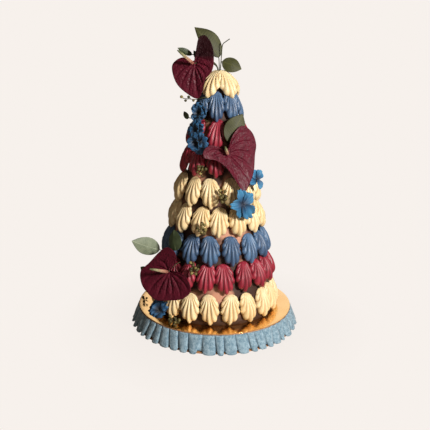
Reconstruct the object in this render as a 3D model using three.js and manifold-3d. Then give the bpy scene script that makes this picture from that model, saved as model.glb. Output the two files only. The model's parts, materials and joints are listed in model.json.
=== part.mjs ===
// A tower of madeleines: nine rows of chocolate-coated shell cakes lean on a tapering core.
// It stands on a gold card over a drum with a pleated cloth skirt, and is dressed with
// anthuriums, blue blooms, leaves and berry sprigs.
// Millimetres, +Z up, the origin on the floor under the tower's axis, the front towards -Y.
// Azimuths are degrees round the axis, from the front towards +X.
import * as THREE from "three";
import { mergeVertices } from "three/addons/utils/BufferGeometryUtils.js";
import Module from "manifold-3d";

const wasm = await Module();
wasm.setup();

// Driving dimensions
const GAP = 0.3; // between pieces that touch
const SAME_POINT = 1e-4; // closer corners are one corner
const DISC_SIDES = 40;
const BOARD = { radius: 211, thickness: 3 };
const DRUM = { radius: 195, height: 41.4 };
const CARD = { radius: 200, thickness: 3, top: 48 };
const SKIRT = { pleats: 46, topRadius: 197, hemRadius: 215, topDepth: 1, hemDepth: 5, lean: 0.2,
  offDrum: 0.6 };
const CORE = { radius: 154.7, taper: 0.221, neck: 560, top: 600, topRadius: 7, sides: 24 };
// The rim's outline is tail long ahead of its middle. Shares are of the rim or of the crown's
// height, and the ribs and the valleys between them rise and sink by their relief.
const CAKE = {
  length: 76, tail: 34, waist: 44, rim: 3.5, hump: 5, humpAt: 4, crown: 16.5, headCrown: 0.8,
  crestTail: 8, crestHead: 20, ribs: 7, ribStep: 34, valleysWithin: 5, valleyReach: 0.95,
  shoulder: 0.73, shoulderHeight: 0.74, ribRelief: 1.3, valleyRelief: -1.8, headRelief: -2.5,
  tailPower: 1.25, headPower: 0.9, headStations: [140, 180, 220], smoothHead: -0.4,
  headApex: -0.1, touch: 3, uneven: 2,
};
const STEM = { radius: 1.4, sides: 4, steps: 3, room: 0.45, offCore: 0.6, crownRing: 5, rise: 32,
  reach: 30 };
const SPATHE = { thickness: 1.6, stations: 18, rings: [0.4, 1], dish: 3 };
// The profile is radius and share of the length
const SPADIX = { stand: 3.2, sides: 8, profile: [[2.6, 0.01], [4.2, 0.18], [3.4, 0.7]] };
const LEAF = { thickness: 1.2, stations: 16, baseTaper: 1.2, tipTaper: 2.1, egg: 0.18, stemInset: 3 };
const BLOOM = { thickness: 1.8, stations: 16, rings: [0.5, 1], waist: 0.6, petalPower: 0.7,
  cup: 0.1, ruffle: 0.05 };
const BERRY = { first: 0.12, smallest: 0.8, bigger: 0.25, spiral: 137.5 };

const IVORY = "#e9cf9c";
const SLATE = "#4a6488";
const RASPBERRY = "#8f1f33";

// Rows from the card up. Heights are above the card: tip is the tails' lowest point.
// tailOff and headOff are how far a cake's back stands off the core at either end. A row without
// a width has cakes as wide as makes them touch. The cakes of a thin row are flatter.
const ROWS = [
  { tip: 2, count: 19, turn: -4.5, tailOff: 3, headOff: 1, colour: IVORY },
  { tip: 79, count: 18, turn: -9.6, tailOff: 10, headOff: 1, colour: RASPBERRY },
  { tip: 144, count: 15, turn: -6.2, tailOff: 10, headOff: 1, colour: SLATE },
  { tip: 214, count: 14, turn: 4, tailOff: 10, headOff: 1, colour: IVORY },
  { tip: 282, count: 12, turn: -8.5, tailOff: 10, headOff: 1, colour: IVORY },
  { tip: 355, count: 10, turn: -2.8, tailOff: 10, headOff: 1, colour: RASPBERRY },
  { tip: 420, count: 8, turn: -5, tailOff: 10, headOff: 1, thin: 0.93, colour: RASPBERRY },
  { tip: 485, count: 8, turn: -5, tailOff: 8, headOff: 0.5, thin: 0.8, colour: SLATE },
  { tip: 541, count: 5, turn: -33, tailOff: 15, headOff: -14, width: 46, colour: IVORY },
];

// Spathes: where the spadix is set, which way the face looks, and the outline round that
// point as right, up and forward.
const SPATHES = [
  {
    name: "anthurium_spathe_top",
    at: [-61.6, -22, 621.3],
    facing: [-0.25, -0.95, 0.05],
    outline: [
      [1, 7, 0], [-32, 13, -8], [-54, -3, -5], [-51, -28, 1], [-36, -54, 4], [-8, -75, 3],
      [13, -82, 2], [25, -64, 5], [31, -38, 6], [47, -15, 3], [50, 14, 1], [45, 44, 1],
      [28, 65, 0], [12, 60, 2], [7, 34, 4],
    ],
    spadix: { to: [-106, -60, 661], length: 58 },
    crownTurn: -62,
  },
  {
    name: "anthurium_spathe_middle",
    at: [22, -104, 420],
    facing: [0.35, -0.93, 0.1],
    outline: [
      [0, 7, 0], [-22, 18, 0], [-42, 21, -2], [-57, 8, -4], [-54, -8, -2], [-28, -14, 2],
      [-5, -31, 8], [15, -60, 12], [36, -91, 16], [55, -70, 10], [69, -44, 0], [75, -8, -7],
      [79, 19, -9], [68, 48, -9], [42, 64, -6], [17, 43, -3],
    ],
    spadix: { to: [14, -132, 449], length: 30 },
    stemAt: [35, 420],
  },
  {
    name: "anthurium_spathe_bottom",
    at: [-114, -132, 131],
    facing: [-0.45, -0.85, 0.25],
    outline: [
      [6, 5, 0], [17, 27, 1], [11, 48, 0], [-14, 58, -3], [-36, 43, -5], [-60, 12, -4],
      [-80, -14, -1], [-71, -43, 2], [-50, -61, 4], [-24, -74, 4], [10, -69, 2],
      [47, -58, 0], [68, -34, 1], [54, -5, 4], [28, 5, 3],
    ],
    spadix: { to: [-158, -158, 148], length: 52 },
    stemAt: [-38, 146],
  },
];

// Leaves: from base to tip, how wide, which way the face looks and how far it bows. Slim is the
// left half's width against the right half's.
const LEAVES = [
  { name: "leaf_crown_large", base: [1, 2, 637], tip: [-60, 8, 707], width: 60,
    facing: [0.15, -0.95, 0.3], bow: 8, slim: 0.5, crownTurn: -182 },
  { name: "leaf_crown_right", base: [7, -2, 627], tip: [54, -10, 611], width: 37,
    facing: [0.1, -0.9, 0.35], bow: 4, crownTurn: 58 },
  { name: "leaf_crown_narrow", base: [-66, 2, 640], tip: [-101, -4, 656], width: 15,
    facing: [-0.2, -0.95, 0.1], bow: 2, crownTurn: -92 },
  { name: "leaf_crown_dark", base: [-46, 8, 626], tip: [-63, 6, 650], width: 15,
    facing: [-0.1, -0.95, 0.1], bow: 2, crownTurn: -137 },
  { name: "leaf_upper_right", base: [25, -88, 446], tip: [60, -66, 510], width: 50,
    facing: [0.35, -0.9, 0.35], bow: 5, stemAt: [26, 484] },
  { name: "leaf_upper_left", base: [-74, -34, 490], tip: [-84, -30, 508], width: 13,
    facing: [-0.4, -0.85, 0.2], bow: 1, stemAt: [-56, 484] },
  { name: "leaf_low_pale", base: [-140, -62, 161], tip: [-206, -92, 193], width: 45,
    facing: [-0.3, -0.9, 0.3], bow: 5, stemAt: [-80, 146] },
  { name: "leaf_low_dark", base: [-100, -118, 181], tip: [-106, -97, 228], width: 38,
    facing: [-0.5, -0.8, 0.2], bow: 5, stemAt: [-60, 146] },
  { name: "leaf_low_left", base: [-174, -30, 84], tip: [-197, -16, 98], width: 22,
    facing: [-0.7, -0.7, 0.2], bow: 2, stemAt: [-80, 79] },
];

// Blooms: the throat, which way it looks and how wide it opens.
const BLOOMS = [
  { name: "bloom_upper_first", at: [-44, -69, 510], facing: [-0.5, -0.8, 0.3], width: 46,
    stemAt: [-31, 484] },
  { name: "bloom_upper_second", at: [-51, -80, 472], facing: [-0.6, -0.75, 0.1], width: 44,
    stemAt: [-57, 420] },
  { name: "bloom_upper_third", at: [-48, -90, 443], facing: [-0.5, -0.85, 0], width: 52,
    stemAt: [-21, 420] },
  { name: "bloom_middle_behind", at: [97, -71, 354], facing: [0.75, -0.6, 0.25], width: 50,
    stemAt: [52, 355] },
  { name: "bloom_middle_front", at: [62, -120, 302], facing: [0.45, -0.88, 0.15], width: 72,
    stemAt: [30, 282] },
  { name: "bloom_on_card", at: [-139, -121, 25], facing: [-0.45, -0.75, 0.5], width: 50 },
];

// Berry sprigs: where the stem starts and ends, and how many berries of which radius.
const SPRIGS = [
  { name: "sprig_crown_left", base: [-54, -40, 538], tip: [-86, -38, 540], berries: 3, size: 4,
    stemAt: [-40, 541] },
  { name: "sprig_centre_upper", base: [-36, -98, 366], tip: [-42, -96, 385], berries: 4, size: 3.6,
    stemAt: [-21, 355] },
  { name: "sprig_centre_middle", base: [20, -122, 303], tip: [14, -121, 324], berries: 4, size: 3.8,
    stemAt: [7, 282] },
  { name: "sprig_centre_lower", base: [-24, -137, 229], tip: [-36, -136, 247], berries: 4,
    size: 3.8, stemAt: [-10, 214] },
  { name: "sprig_low", base: [-44, -154, 132], tip: [-56, -151, 151], berries: 4, size: 4,
    stemAt: [-20, 144] },
  { name: "sprig_on_card", base: [-84, -164, 9], tip: [-108, -147, 11], berries: 5, size: 4.4 },
  { name: "sprig_card_edge", base: [-176, -24, 5], tip: [-190, -8, 6], berries: 3, size: 4.6 },
];

const TWIG = { route: [[5, 5, 640], [7, 5, 664], [14, 4, 672], [24, 2, 679]], radius: 1,
  steps: 7, crownTurn: 118 };

const FINISHES = {
  board: { color: "#8a6544", roughness: 0.8, metalness: 0 },
  drum: { color: "#d9cdb6", roughness: 0.8, metalness: 0 },
  card: { color: "#c98f2f", roughness: 0.18, metalness: 1 },
  cloth: { color: "#66859b", roughness: 0.95, metalness: 0 },
  core: { color: "#d98f7c", roughness: 0.7, metalness: 0 },
  spathe: { color: "#4a0f24", roughness: 0.4, metalness: 0 },
  spadix: { color: "#c9a07f", roughness: 0.6, metalness: 0 },
  leaf: { color: "#3f4a26", roughness: 0.55, metalness: 0 },
  paleLeaf: { color: "#6f7a60", roughness: 0.6, metalness: 0 },
  bloom: { color: "#0f4e78", roughness: 0.55, metalness: 0 },
  berry: { color: "#6c6a2f", roughness: 0.6, metalness: 0 },
};

const tower = new THREE.Group(); // everything on the card, raised to its top
tower.position.z = CARD.top;
const part = new THREE.Group();
part.add(tower);

const vector = ([x, y, z]) => new THREE.Vector3(x, y, z);

// The same number in [0, 1) each time for a row, a cake and a trait.
function chance(row, cake, trait) {
  const wave = Math.sin(row * 12.9898 + cake * 78.233 + trait * 37.719) * 43758.5453;
  return wave - Math.floor(wave);
}

function addMesh(parent, name, geometry, finish) {
  const mesh = new THREE.Mesh(geometry, new THREE.MeshStandardMaterial(finish));
  mesh.name = name;
  parent.add(mesh);
  return mesh;
}

// Solids that can be joined and cut, and back to geometry
function solidOf(geometry) {
  const bare = new THREE.BufferGeometry();
  bare.setAttribute("position", geometry.getAttribute("position"));
  bare.setIndex(geometry.index);
  const merged = mergeVertices(bare, SAME_POINT);
  const vertProperties = new Float32Array(merged.attributes.position.array);
  const triVerts = new Uint32Array(merged.index.array);
  return new wasm.Manifold(new wasm.Mesh({ numProp: 3, vertProperties, triVerts }));
}

function geometryOf(solid) {
  const mesh = solid.getMesh();
  const geometry = new THREE.BufferGeometry();
  geometry.setAttribute("position", new THREE.BufferAttribute(mesh.vertProperties, 3));
  geometry.setIndex(new THREE.BufferAttribute(mesh.triVerts, 1));
  return geometry;
}

const joined = (solids) => solids.reduce((sum, one) => sum.add(one));

function closedGeometry(points, triangles) {
  const geometry = new THREE.BufferGeometry().setFromPoints(points);
  geometry.setIndex(triangles.flat());
  return geometry;
}

// Two rings of points with the same count, joined by a band that faces outward when the
// rings run counter-clockwise seen from the far side of the second.
function band(first, second, count) {
  const triangles = [];
  for (let i = 0; i < count; i += 1) {
    const next = (i + 1) % count;
    triangles.push([first + i, first + next, second + next]);
    triangles.push([first + i, second + next, second + i]);
  }
  return triangles;
}

function fan(apex, ring, count, flipped = false) {
  const triangles = [];
  for (let i = 0; i < count; i += 1) {
    const next = (i + 1) % count;
    triangles.push(flipped ? [apex, ring + next, ring + i] : [apex, ring + i, ring + next]);
  }
  return triangles;
}

// The stand: board, drum, gold card and pleated skirt
function disc(name, radius, thickness, bottom, finish) {
  const geometry = new THREE.CylinderGeometry(radius, radius, thickness, DISC_SIDES);
  geometry.rotateX(Math.PI / 2);
  addMesh(part, name, geometry, finish).position.z = bottom + thickness / 2;
}

function skirtGeometry() {
  const columns = SKIRT.pleats * 2;
  const step = (2 * Math.PI) / SKIRT.pleats;
  const hem = BOARD.thickness + GAP;
  const top = CARD.top - CARD.thickness - GAP;
  const wall = DRUM.radius + SKIRT.offDrum;
  const levels = [
    { z: hem, crest: SKIRT.hemRadius + SKIRT.hemDepth, valley: SKIRT.hemRadius - SKIRT.hemDepth },
    { z: top, crest: SKIRT.topRadius + SKIRT.topDepth, valley: SKIRT.topRadius - SKIRT.topDepth },
    { z: top, crest: wall, valley: wall },
    { z: hem, crest: wall, valley: wall },
  ];
  const points = [];
  levels.forEach(({ z, crest, valley }) => {
    for (let i = 0; i < columns; i += 1) {
      const onCrest = i % 2 === 0;
      const angle = step * (Math.floor(i / 2) + (onCrest ? 0 : SKIRT.lean));
      const radius = onCrest ? crest : valley;
      points.push(new THREE.Vector3(radius * Math.sin(angle), -radius * Math.cos(angle), z));
    }
  });
  const triangles = levels.flatMap((_, k) =>
    band(k * columns, ((k + 1) % levels.length) * columns, columns));
  return closedGeometry(points, triangles);
}

// The core, a cone that narrows to a neck inside the crown
const coreRadius = (height) => CORE.radius - CORE.taper * height;

function coreGeometry() {
  const profile = [
    [0, GAP],
    [coreRadius(GAP), GAP],
    [coreRadius(CORE.neck), CORE.neck],
    [CORE.topRadius, CORE.top],
    [0, CORE.top],
  ].map(([r, z]) => new THREE.Vector2(r, z));
  const geometry = new THREE.LatheGeometry(profile, CORE.sides);
  return geometry.rotateX(Math.PI / 2);
}

// A point on the core, with the directions out of it and up it
function onCore(azimuth, height) {
  const turn = THREE.MathUtils.degToRad(azimuth);
  const slope = Math.atan(CORE.taper);
  const radial = new THREE.Vector3(Math.sin(turn), -Math.cos(turn), 0);
  const outward = radial.clone().multiplyScalar(Math.cos(slope));
  outward.z = Math.sin(slope);
  const point = radial.multiplyScalar(coreRadius(height)).setZ(height);
  return { point, outward };
}

// One cake: x across, y from the tail to the head, z out of its back. Ribs fan out from
// the head and end in the scallops of the rim.
function cakeStations() {
  const stations = [];
  for (let i = 0; i < CAKE.ribs * 2 - 1; i += 1) {
    const halves = i - (CAKE.ribs - 1);
    const valley = i % 2 === 1;
    const turn = THREE.MathUtils.degToRad(halves * CAKE.ribStep / 2);
    if (!valley || Math.abs(halves) < CAKE.valleysWithin) stations.push({ turn, valley });
  }
  for (const degrees of CAKE.headStations) {
    stations.push({ turn: THREE.MathUtils.degToRad(degrees), valley: false });
  }
  return stations;
}

function cakeGeometry(width) {
  const stations = cakeStations();
  const place = ({ turn, valley }, share, z) => {
    const ahead = Math.cos(turn) > 0;
    const length = ahead ? CAKE.tail : CAKE.length - CAKE.tail;
    const power = ahead ? CAKE.tailPower : CAKE.headPower;
    const scale = share * (valley ? CAKE.valleyReach : 1);
    const bent = (value) => Math.sign(value) * Math.abs(value) ** power * scale;
    const x = (width / 2) * bent(Math.sin(turn));
    return new THREE.Vector3(x, CAKE.tail - length * bent(Math.cos(turn)), z);
  };
  const rim = stations.map((station) => place(station, 1, CAKE.rim));
  const shoulder = stations.map((station) => {
    const rise = station.valley ? CAKE.valleyRelief : CAKE.ribRelief;
    const relief = Math.cos(station.turn) < CAKE.smoothHead ? CAKE.headRelief : rise;
    return place(station, CAKE.shoulder, CAKE.crown * CAKE.shoulderHeight + relief);
  });
  const crestTail = new THREE.Vector3(0, CAKE.tail - CAKE.crestTail, CAKE.crown);
  const crestHead = new THREE.Vector3(0, CAKE.tail + CAKE.crestHead, CAKE.crown * CAKE.headCrown);
  const hump = new THREE.Vector3(0, CAKE.tail + CAKE.humpAt, CAKE.rim - CAKE.hump);
  const count = stations.length;
  const points = [...rim, ...shoulder, crestTail, crestHead, hump];
  const [tailTop, headTop, back] = [2 * count, 2 * count + 1, 2 * count + 2];
  const triangles = [...band(0, count, count), ...fan(back, 0, count, true)];
  const apexOf = (k) => (Math.cos(stations[k].turn) < CAKE.headApex ? headTop : tailTop);
  for (let i = 0; i < count; i += 1) {
    const next = (i + 1) % count;
    triangles.push([apexOf(i), count + i, count + next]);
    if (apexOf(i) !== apexOf(next)) triangles.push([apexOf(i), count + next, apexOf(next)]);
  }
  return closedGeometry(points, triangles);
}

// The cakes of a row lean on the core side by side and touch at their widest ribs
function rowSolid(row, index) {
  const slope = Math.atan(CORE.taper);
  const lean = slope + Math.atan((row.tailOff - row.headOff) / CAKE.length);
  const pitch = 360 / row.count;
  const azimuthOf = (i) => row.turn + pitch * i + (chance(index, i % row.count, 1) - 0.5);
  const footRadius = coreRadius(row.tip) + row.tailOff * Math.cos(slope);
  const widest = footRadius + CAKE.rim * Math.cos(lean) - CAKE.waist * Math.sin(lean);
  const cakes = [];
  for (let i = 0; i < row.count; i += 1) {
    const azimuth = azimuthOf(i);
    const before = azimuth - (azimuthOf(i + row.count - 1) - 360);
    const after = azimuthOf(i + 1) - azimuth + (i + 1 === row.count ? 360 : 0);
    const halfTurn = THREE.MathUtils.degToRad(Math.max(before % 360, after % 360) / 2);
    const width = row.width ?? 2 * widest * Math.tan(halfTurn) + CAKE.touch;
    const rise = (chance(index, i, 2) - 0.5) * CAKE.uneven;
    const cake = new THREE.Object3D();
    const turn = THREE.MathUtils.degToRad(azimuth);
    cake.rotation.set(Math.PI / 2 - lean, 0, turn, "ZXY");
    cake.position.set(footRadius * Math.sin(turn), -footRadius * Math.cos(turn), rise);
    cake.scale.z = row.thin ?? 1;
    cake.updateMatrix();
    cakes.push(solidOf(cakeGeometry(width).applyMatrix4(cake.matrix)));
  }
  return joined(cakes);
}

// Stems, from a flower or leaf to the core between the cakes
function tubeGeometry(curve, radius, steps) {
  const corners = [];
  for (let i = 0; i < STEM.sides; i += 1) {
    const turn = (2 * Math.PI * i) / STEM.sides;
    corners.push(new THREE.Vector2(radius * Math.cos(turn), radius * Math.sin(turn)));
  }
  const options = { extrudePath: curve, steps, bevelEnabled: false };
  return new THREE.ExtrudeGeometry(new THREE.Shape(corners), options);
}

// Where a stem can go in: between the heads of one row, under the tails of the next
function gapNear([azimuth, height]) {
  let upper = 1;
  ROWS.forEach((row, i) => {
    if (i > 0 && Math.abs(row.tip - height) < Math.abs(ROWS[upper].tip - height)) upper = i;
  });
  const lower = ROWS[upper - 1];
  const pitch = 360 / lower.count;
  const turns = Math.round((azimuth - lower.turn) / pitch - 0.5) + 0.5;
  return onCore(lower.turn + turns * pitch, ROWS[upper].tip + 1);
}

function crownFoot(crownTurn) {
  const turn = THREE.MathUtils.degToRad(crownTurn);
  const [x, y] = [STEM.crownRing * Math.sin(turn), -STEM.crownRing * Math.cos(turn)];
  return new THREE.Vector3(x, y, CORE.top + GAP);
}

function stemCurve(from, piece) {
  if (piece.crownTurn !== undefined) {
    const foot = crownFoot(piece.crownTurn);
    const above = foot.clone().setZ(CORE.top + STEM.rise);
    return new THREE.QuadraticBezierCurve3(from, above, foot);
  }
  const { point, outward } = gapNear(piece.stemAt);
  const foot = point.clone().addScaledVector(outward, STEM.offCore);
  const outside = point.clone().addScaledVector(outward, STEM.reach);
  return new THREE.QuadraticBezierCurve3(from, outside, foot);
}

const stemRooms = []; // the holes that stems need where they pass between cakes

function stemSolid(from, piece) {
  const curve = stemCurve(from, piece);
  stemRooms.push(solidOf(tubeGeometry(curve, STEM.radius + STEM.room, STEM.steps)));
  return solidOf(tubeGeometry(curve, STEM.radius, STEM.steps));
}

// A thin blade: rings of its outline round a centre, with both faces split alike
function bladeGeometry(outline, rings, thickness, form) {
  const count = outline.length;
  const front = [new THREE.Vector3(0, 0, form(0, 0))];
  rings.forEach((share) => {
    outline.forEach((point, i) => {
      const lift = point.z * share ** 1.5 + form(share, i);
      front.push(new THREE.Vector3(point.x * share, point.y * share, lift));
    });
  });
  const back = front.map((point) => point.clone().setZ(point.z - thickness));
  const offset = front.length;
  const ringStart = (k) => 1 + k * count;
  const faceTriangles = [...fan(0, 1, count)];
  for (let k = 0; k + 1 < rings.length; k += 1) {
    faceTriangles.push(...band(ringStart(k + 1), ringStart(k), count));
  }
  const triangles = [...faceTriangles];
  faceTriangles.forEach(([a, b, c]) => triangles.push([a + offset, c + offset, b + offset]));
  const edge = ringStart(rings.length - 1);
  triangles.push(...band(edge + offset, edge, count));
  return closedGeometry([...front, ...back], triangles);
}

// A frame that looks along a direction, with its y axis as far up as it can be
function facingFrame(at, facing, upward = [0, 0, 1]) {
  const z = vector(facing).normalize();
  const x = vector(upward).cross(z).normalize();
  const y = z.clone().cross(x);
  const matrix = new THREE.Matrix4().makeBasis(x, y, z);
  return matrix.setPosition(vector(at));
}

// A blade with its stem in the tower's frame, set down as a mesh placed at its own point
function addDressing(name, blade, frame, piece, stemFrom, finish) {
  const inTower = solidOf(blade.applyMatrix4(frame));
  const withStem = stemFrom ? inTower.add(stemSolid(stemFrom, piece)) : inTower;
  const home = new THREE.Vector3().setFromMatrixPosition(frame);
  const geometry = geometryOf(withStem).translate(-home.x, -home.y, -home.z);
  addMesh(tower, name, geometry, finish).position.copy(home);
}

function addSpathe(spathe) {
  const { thickness, stations, rings } = SPATHE;
  const points = spathe.outline.map(vector);
  const curve = new THREE.CatmullRomCurve3(points, true, "catmullrom", 0.5);
  const outline = curve.getSpacedPoints(stations).slice(0, stations);
  const dish = (share) => -SPATHE.dish * share * (1 - share);
  const blade = bladeGeometry(outline, rings, thickness, dish);
  const frame = facingFrame(spathe.at, spathe.facing);
  const from = new THREE.Vector3(0, 0, -thickness / 2).applyMatrix4(frame);
  addDressing(spathe.name, blade, frame, spathe, from, FINISHES.spathe);
  addSpadix(spathe);
}

function addSpadix(spathe) {
  const { to, length } = spathe.spadix;
  const axis = vector(to).sub(vector(spathe.at)).normalize();
  const facing = vector(spathe.facing).normalize();
  const foot = vector(spathe.at).addScaledVector(facing, SPADIX.stand);
  const profile = [[0, 0], ...SPADIX.profile, [0, 1]];
  const points = profile.map(([radius, share]) => new THREE.Vector2(radius, share * length));
  const geometry = new THREE.LatheGeometry(points, SPADIX.sides);
  const name = spathe.name.replace("spathe", "spadix");
  const mesh = addMesh(tower, name, geometry, FINISHES.spadix);
  mesh.position.copy(foot);
  mesh.quaternion.setFromUnitVectors(new THREE.Vector3(0, 1, 0), axis);
}

function addLeaf(leaf) {
  const { thickness, stations } = LEAF;
  const base = vector(leaf.base);
  const tip = vector(leaf.tip);
  const along = tip.clone().sub(base);
  const half = along.length() / 2;
  const outline = [];
  for (let i = 0; i < stations; i += 1) {
    const turn = (2 * Math.PI * i) / stations;
    const towardsTip = (1 + Math.cos(turn)) / 2;
    const taper = LEAF.baseTaper + (LEAF.tipTaper - LEAF.baseTaper) * towardsTip;
    const side = Math.sign(Math.sin(turn)) * Math.abs(Math.sin(turn)) ** taper;
    const slim = side > 0 ? leaf.slim ?? 1 : 1;
    const x = (leaf.width / 2) * side * slim * (1 - LEAF.egg * Math.cos(turn));
    const y = half * Math.cos(turn);
    outline.push(new THREE.Vector3(-x, y, -leaf.bow));
  }
  const blade = bladeGeometry(outline, [1], thickness, () => 0);
  const middle = base.clone().add(tip).multiplyScalar(0.5);
  const z = vector(leaf.facing);
  z.addScaledVector(along, -z.dot(along) / along.lengthSq());
  const frame = facingFrame(middle.toArray(), z.toArray(), along.toArray());
  const reach = new THREE.Vector3(0, LEAF.stemInset - half, -leaf.bow - thickness / 2);
  const from = reach.applyMatrix4(frame);
  const finish = leaf.name.endsWith("pale") ? FINISHES.paleLeaf : FINISHES.leaf;
  addDressing(leaf.name, blade, frame, leaf, from, finish);
}

function addBloom(bloom) {
  const { thickness, stations, rings, waist } = BLOOM;
  const outline = [];
  for (let i = 0; i < stations; i += 1) {
    const turn = (2 * Math.PI * i) / stations;
    const petal = waist + (1 - waist) * Math.abs(Math.cos(2 * turn)) ** BLOOM.petalPower;
    const radius = (bloom.width / 2) * petal;
    const lift = bloom.width * (BLOOM.cup + BLOOM.ruffle * Math.cos(3 * turn));
    outline.push(new THREE.Vector3(radius * Math.cos(turn), radius * Math.sin(turn), lift));
  }
  const blade = bladeGeometry(outline, rings, thickness, () => 0);
  const frame = facingFrame(bloom.at, bloom.facing);
  const from = new THREE.Vector3(0, 0, -thickness / 2).applyMatrix4(frame);
  addDressing(bloom.name, blade, frame, bloom, bloom.stemAt && from, FINISHES.bloom);
}

function addSprig(sprig) {
  const base = vector(sprig.base);
  const tip = vector(sprig.tip);
  const along = tip.clone().sub(base);
  const side = new THREE.Vector3(0, 0, 1).cross(along).normalize();
  const up = along.clone().normalize().cross(side);
  const twig = new THREE.LineCurve3(base, tip);
  const pieces = [solidOf(tubeGeometry(twig, STEM.radius, 1))];
  const spiral = THREE.MathUtils.degToRad(BERRY.spiral);
  for (let i = 0; i < sprig.berries; i += 1) {
    const share = i / (sprig.berries - 1);
    const size = sprig.size * (BERRY.smallest + BERRY.bigger * ((i * 2) % 3));
    const last = i === sprig.berries - 1;
    const stand = last ? 0 : size;
    const centre = base.clone().lerp(tip, BERRY.first + (1 - BERRY.first) * share);
    centre.addScaledVector(side, stand * Math.cos(spiral * i));
    centre.addScaledVector(up, stand * Math.sin(spiral * i));
    const berry = new THREE.IcosahedronGeometry(size, 0);
    pieces.push(solidOf(berry.translate(...centre.toArray())));
  }
  if (sprig.stemAt) pieces.push(stemSolid(base, sprig));
  const geometry = geometryOf(joined(pieces)).translate(-base.x, -base.y, -base.z);
  addMesh(tower, sprig.name, geometry, FINISHES.berry).position.copy(base);
}

function addTwig() {
  const points = [crownFoot(TWIG.crownTurn), ...TWIG.route.map(vector)];
  const curve = new THREE.CatmullRomCurve3(points);
  addMesh(tower, "twig_crown", tubeGeometry(curve, TWIG.radius, TWIG.steps), FINISHES.leaf);
}

disc("base_board", BOARD.radius, BOARD.thickness, 0, FINISHES.board);
disc("drum", DRUM.radius, DRUM.height, BOARD.thickness + GAP, FINISHES.drum);
disc("gold_card", CARD.radius, CARD.thickness, CARD.top - CARD.thickness, FINISHES.card);
addMesh(part, "skirt", skirtGeometry(), FINISHES.cloth);
addMesh(tower, "core", coreGeometry(), FINISHES.core);
SPATHES.forEach(addSpathe);
LEAVES.forEach(addLeaf);
BLOOMS.forEach(addBloom);
SPRIGS.forEach(addSprig);
addTwig();
ROWS.forEach((row, index) => {
  const inPlace = rowSolid(row, index).translate([0, 0, row.tip]);
  const cut = stemRooms.reduce((solid, room) => solid.subtract(room), inPlace);
  const geometry = geometryOf(cut.translate([0, 0, -row.tip]));
  const finish = { color: row.colour, roughness: 0.3, metalness: 0 };
  addMesh(tower, `madeleine_row_${index + 1}`, geometry, finish).position.z = row.tip;
});

export default part;
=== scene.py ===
# A tower of madeleines: nine rows of coated shell cakes lean on an iced core. It stands on a gold
# card over a pleated cloth skirt, and anthuriums, blue blooms, leaves and berry sprigs dress it.
import json
import math

import bmesh
import bpy
import numpy as np
from mathutils import Matrix, Vector, noise

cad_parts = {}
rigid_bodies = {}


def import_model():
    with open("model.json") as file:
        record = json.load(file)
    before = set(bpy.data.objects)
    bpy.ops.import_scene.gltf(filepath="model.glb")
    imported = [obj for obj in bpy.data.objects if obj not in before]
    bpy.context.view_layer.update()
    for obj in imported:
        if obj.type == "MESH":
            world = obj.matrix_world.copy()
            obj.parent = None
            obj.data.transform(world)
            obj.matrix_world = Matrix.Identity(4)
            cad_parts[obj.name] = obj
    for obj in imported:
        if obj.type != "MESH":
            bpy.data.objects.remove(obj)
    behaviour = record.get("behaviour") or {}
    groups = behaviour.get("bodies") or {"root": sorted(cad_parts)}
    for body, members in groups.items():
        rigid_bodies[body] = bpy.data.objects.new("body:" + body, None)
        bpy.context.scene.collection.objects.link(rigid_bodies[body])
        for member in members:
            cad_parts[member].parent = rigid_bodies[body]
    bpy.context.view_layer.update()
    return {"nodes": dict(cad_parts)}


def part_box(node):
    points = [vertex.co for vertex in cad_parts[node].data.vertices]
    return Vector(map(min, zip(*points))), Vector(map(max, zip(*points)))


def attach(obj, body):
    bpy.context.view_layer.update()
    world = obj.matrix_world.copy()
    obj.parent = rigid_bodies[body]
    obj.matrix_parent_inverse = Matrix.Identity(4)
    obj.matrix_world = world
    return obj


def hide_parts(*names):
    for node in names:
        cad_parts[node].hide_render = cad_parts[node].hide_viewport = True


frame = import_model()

scene = bpy.context.scene
mm = 0.001
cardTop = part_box("gold_card")[1].z  # flowers and cakes are placed from here up

# Camera: the photograph's view, from the front and a little above
viewpoint = {"location": (0, -1.7, 0.7849), "lens": 57.58, "down": 16.33, "yaw": -0.12, "roll": 1.07}


def makeCamera():
    down, yaw, roll = (math.radians(viewpoint[key]) for key in ("down", "yaw", "roll"))
    level = math.cos(down)
    ahead = Vector((math.sin(yaw) * level, math.cos(yaw) * level, -math.sin(down)))
    right = ahead.cross(Vector((0, 0, 1))).normalized()
    up = right.cross(ahead)
    across = right * math.cos(roll) + up * math.sin(roll)
    upward = up * math.cos(roll) - right * math.sin(roll)
    data = bpy.data.cameras.new("camera")
    data.lens = viewpoint["lens"]
    data.sensor_width = 36
    camera = bpy.data.objects.new("camera", data)
    turned = Matrix((across, upward, -ahead)).transposed().to_4x4()
    camera.matrix_world = Matrix.Translation(viewpoint["location"]) @ turned
    scene.collection.objects.link(camera)
    scene.camera = camera


makeCamera()
print("camera set")


# Node trees, for finishes and for what repeats
class Socket:  # a node's output that can be calculated with
    def __init__(self, tree, node, index=0):
        self.tree, self.node, self.index = tree, node, index

    def __getitem__(self, name):
        return Socket(self.tree, self.node, name)

    def __add__(self, other):
        return self.tree.calc("ADD", self, other)

    def __sub__(self, other):
        return self.tree.calc("SUBTRACT", self, other)

    def __rsub__(self, other):
        return self.tree.calc("SUBTRACT", other, self)

    def __mul__(self, other):
        return self.tree.calc("MULTIPLY", self, other)

    def __truediv__(self, other):
        return self.tree.calc("DIVIDE", self, other)

    def __rtruediv__(self, other):
        return self.tree.calc("DIVIDE", other, self)

    __radd__ = __add__
    __rmul__ = __mul__


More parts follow.
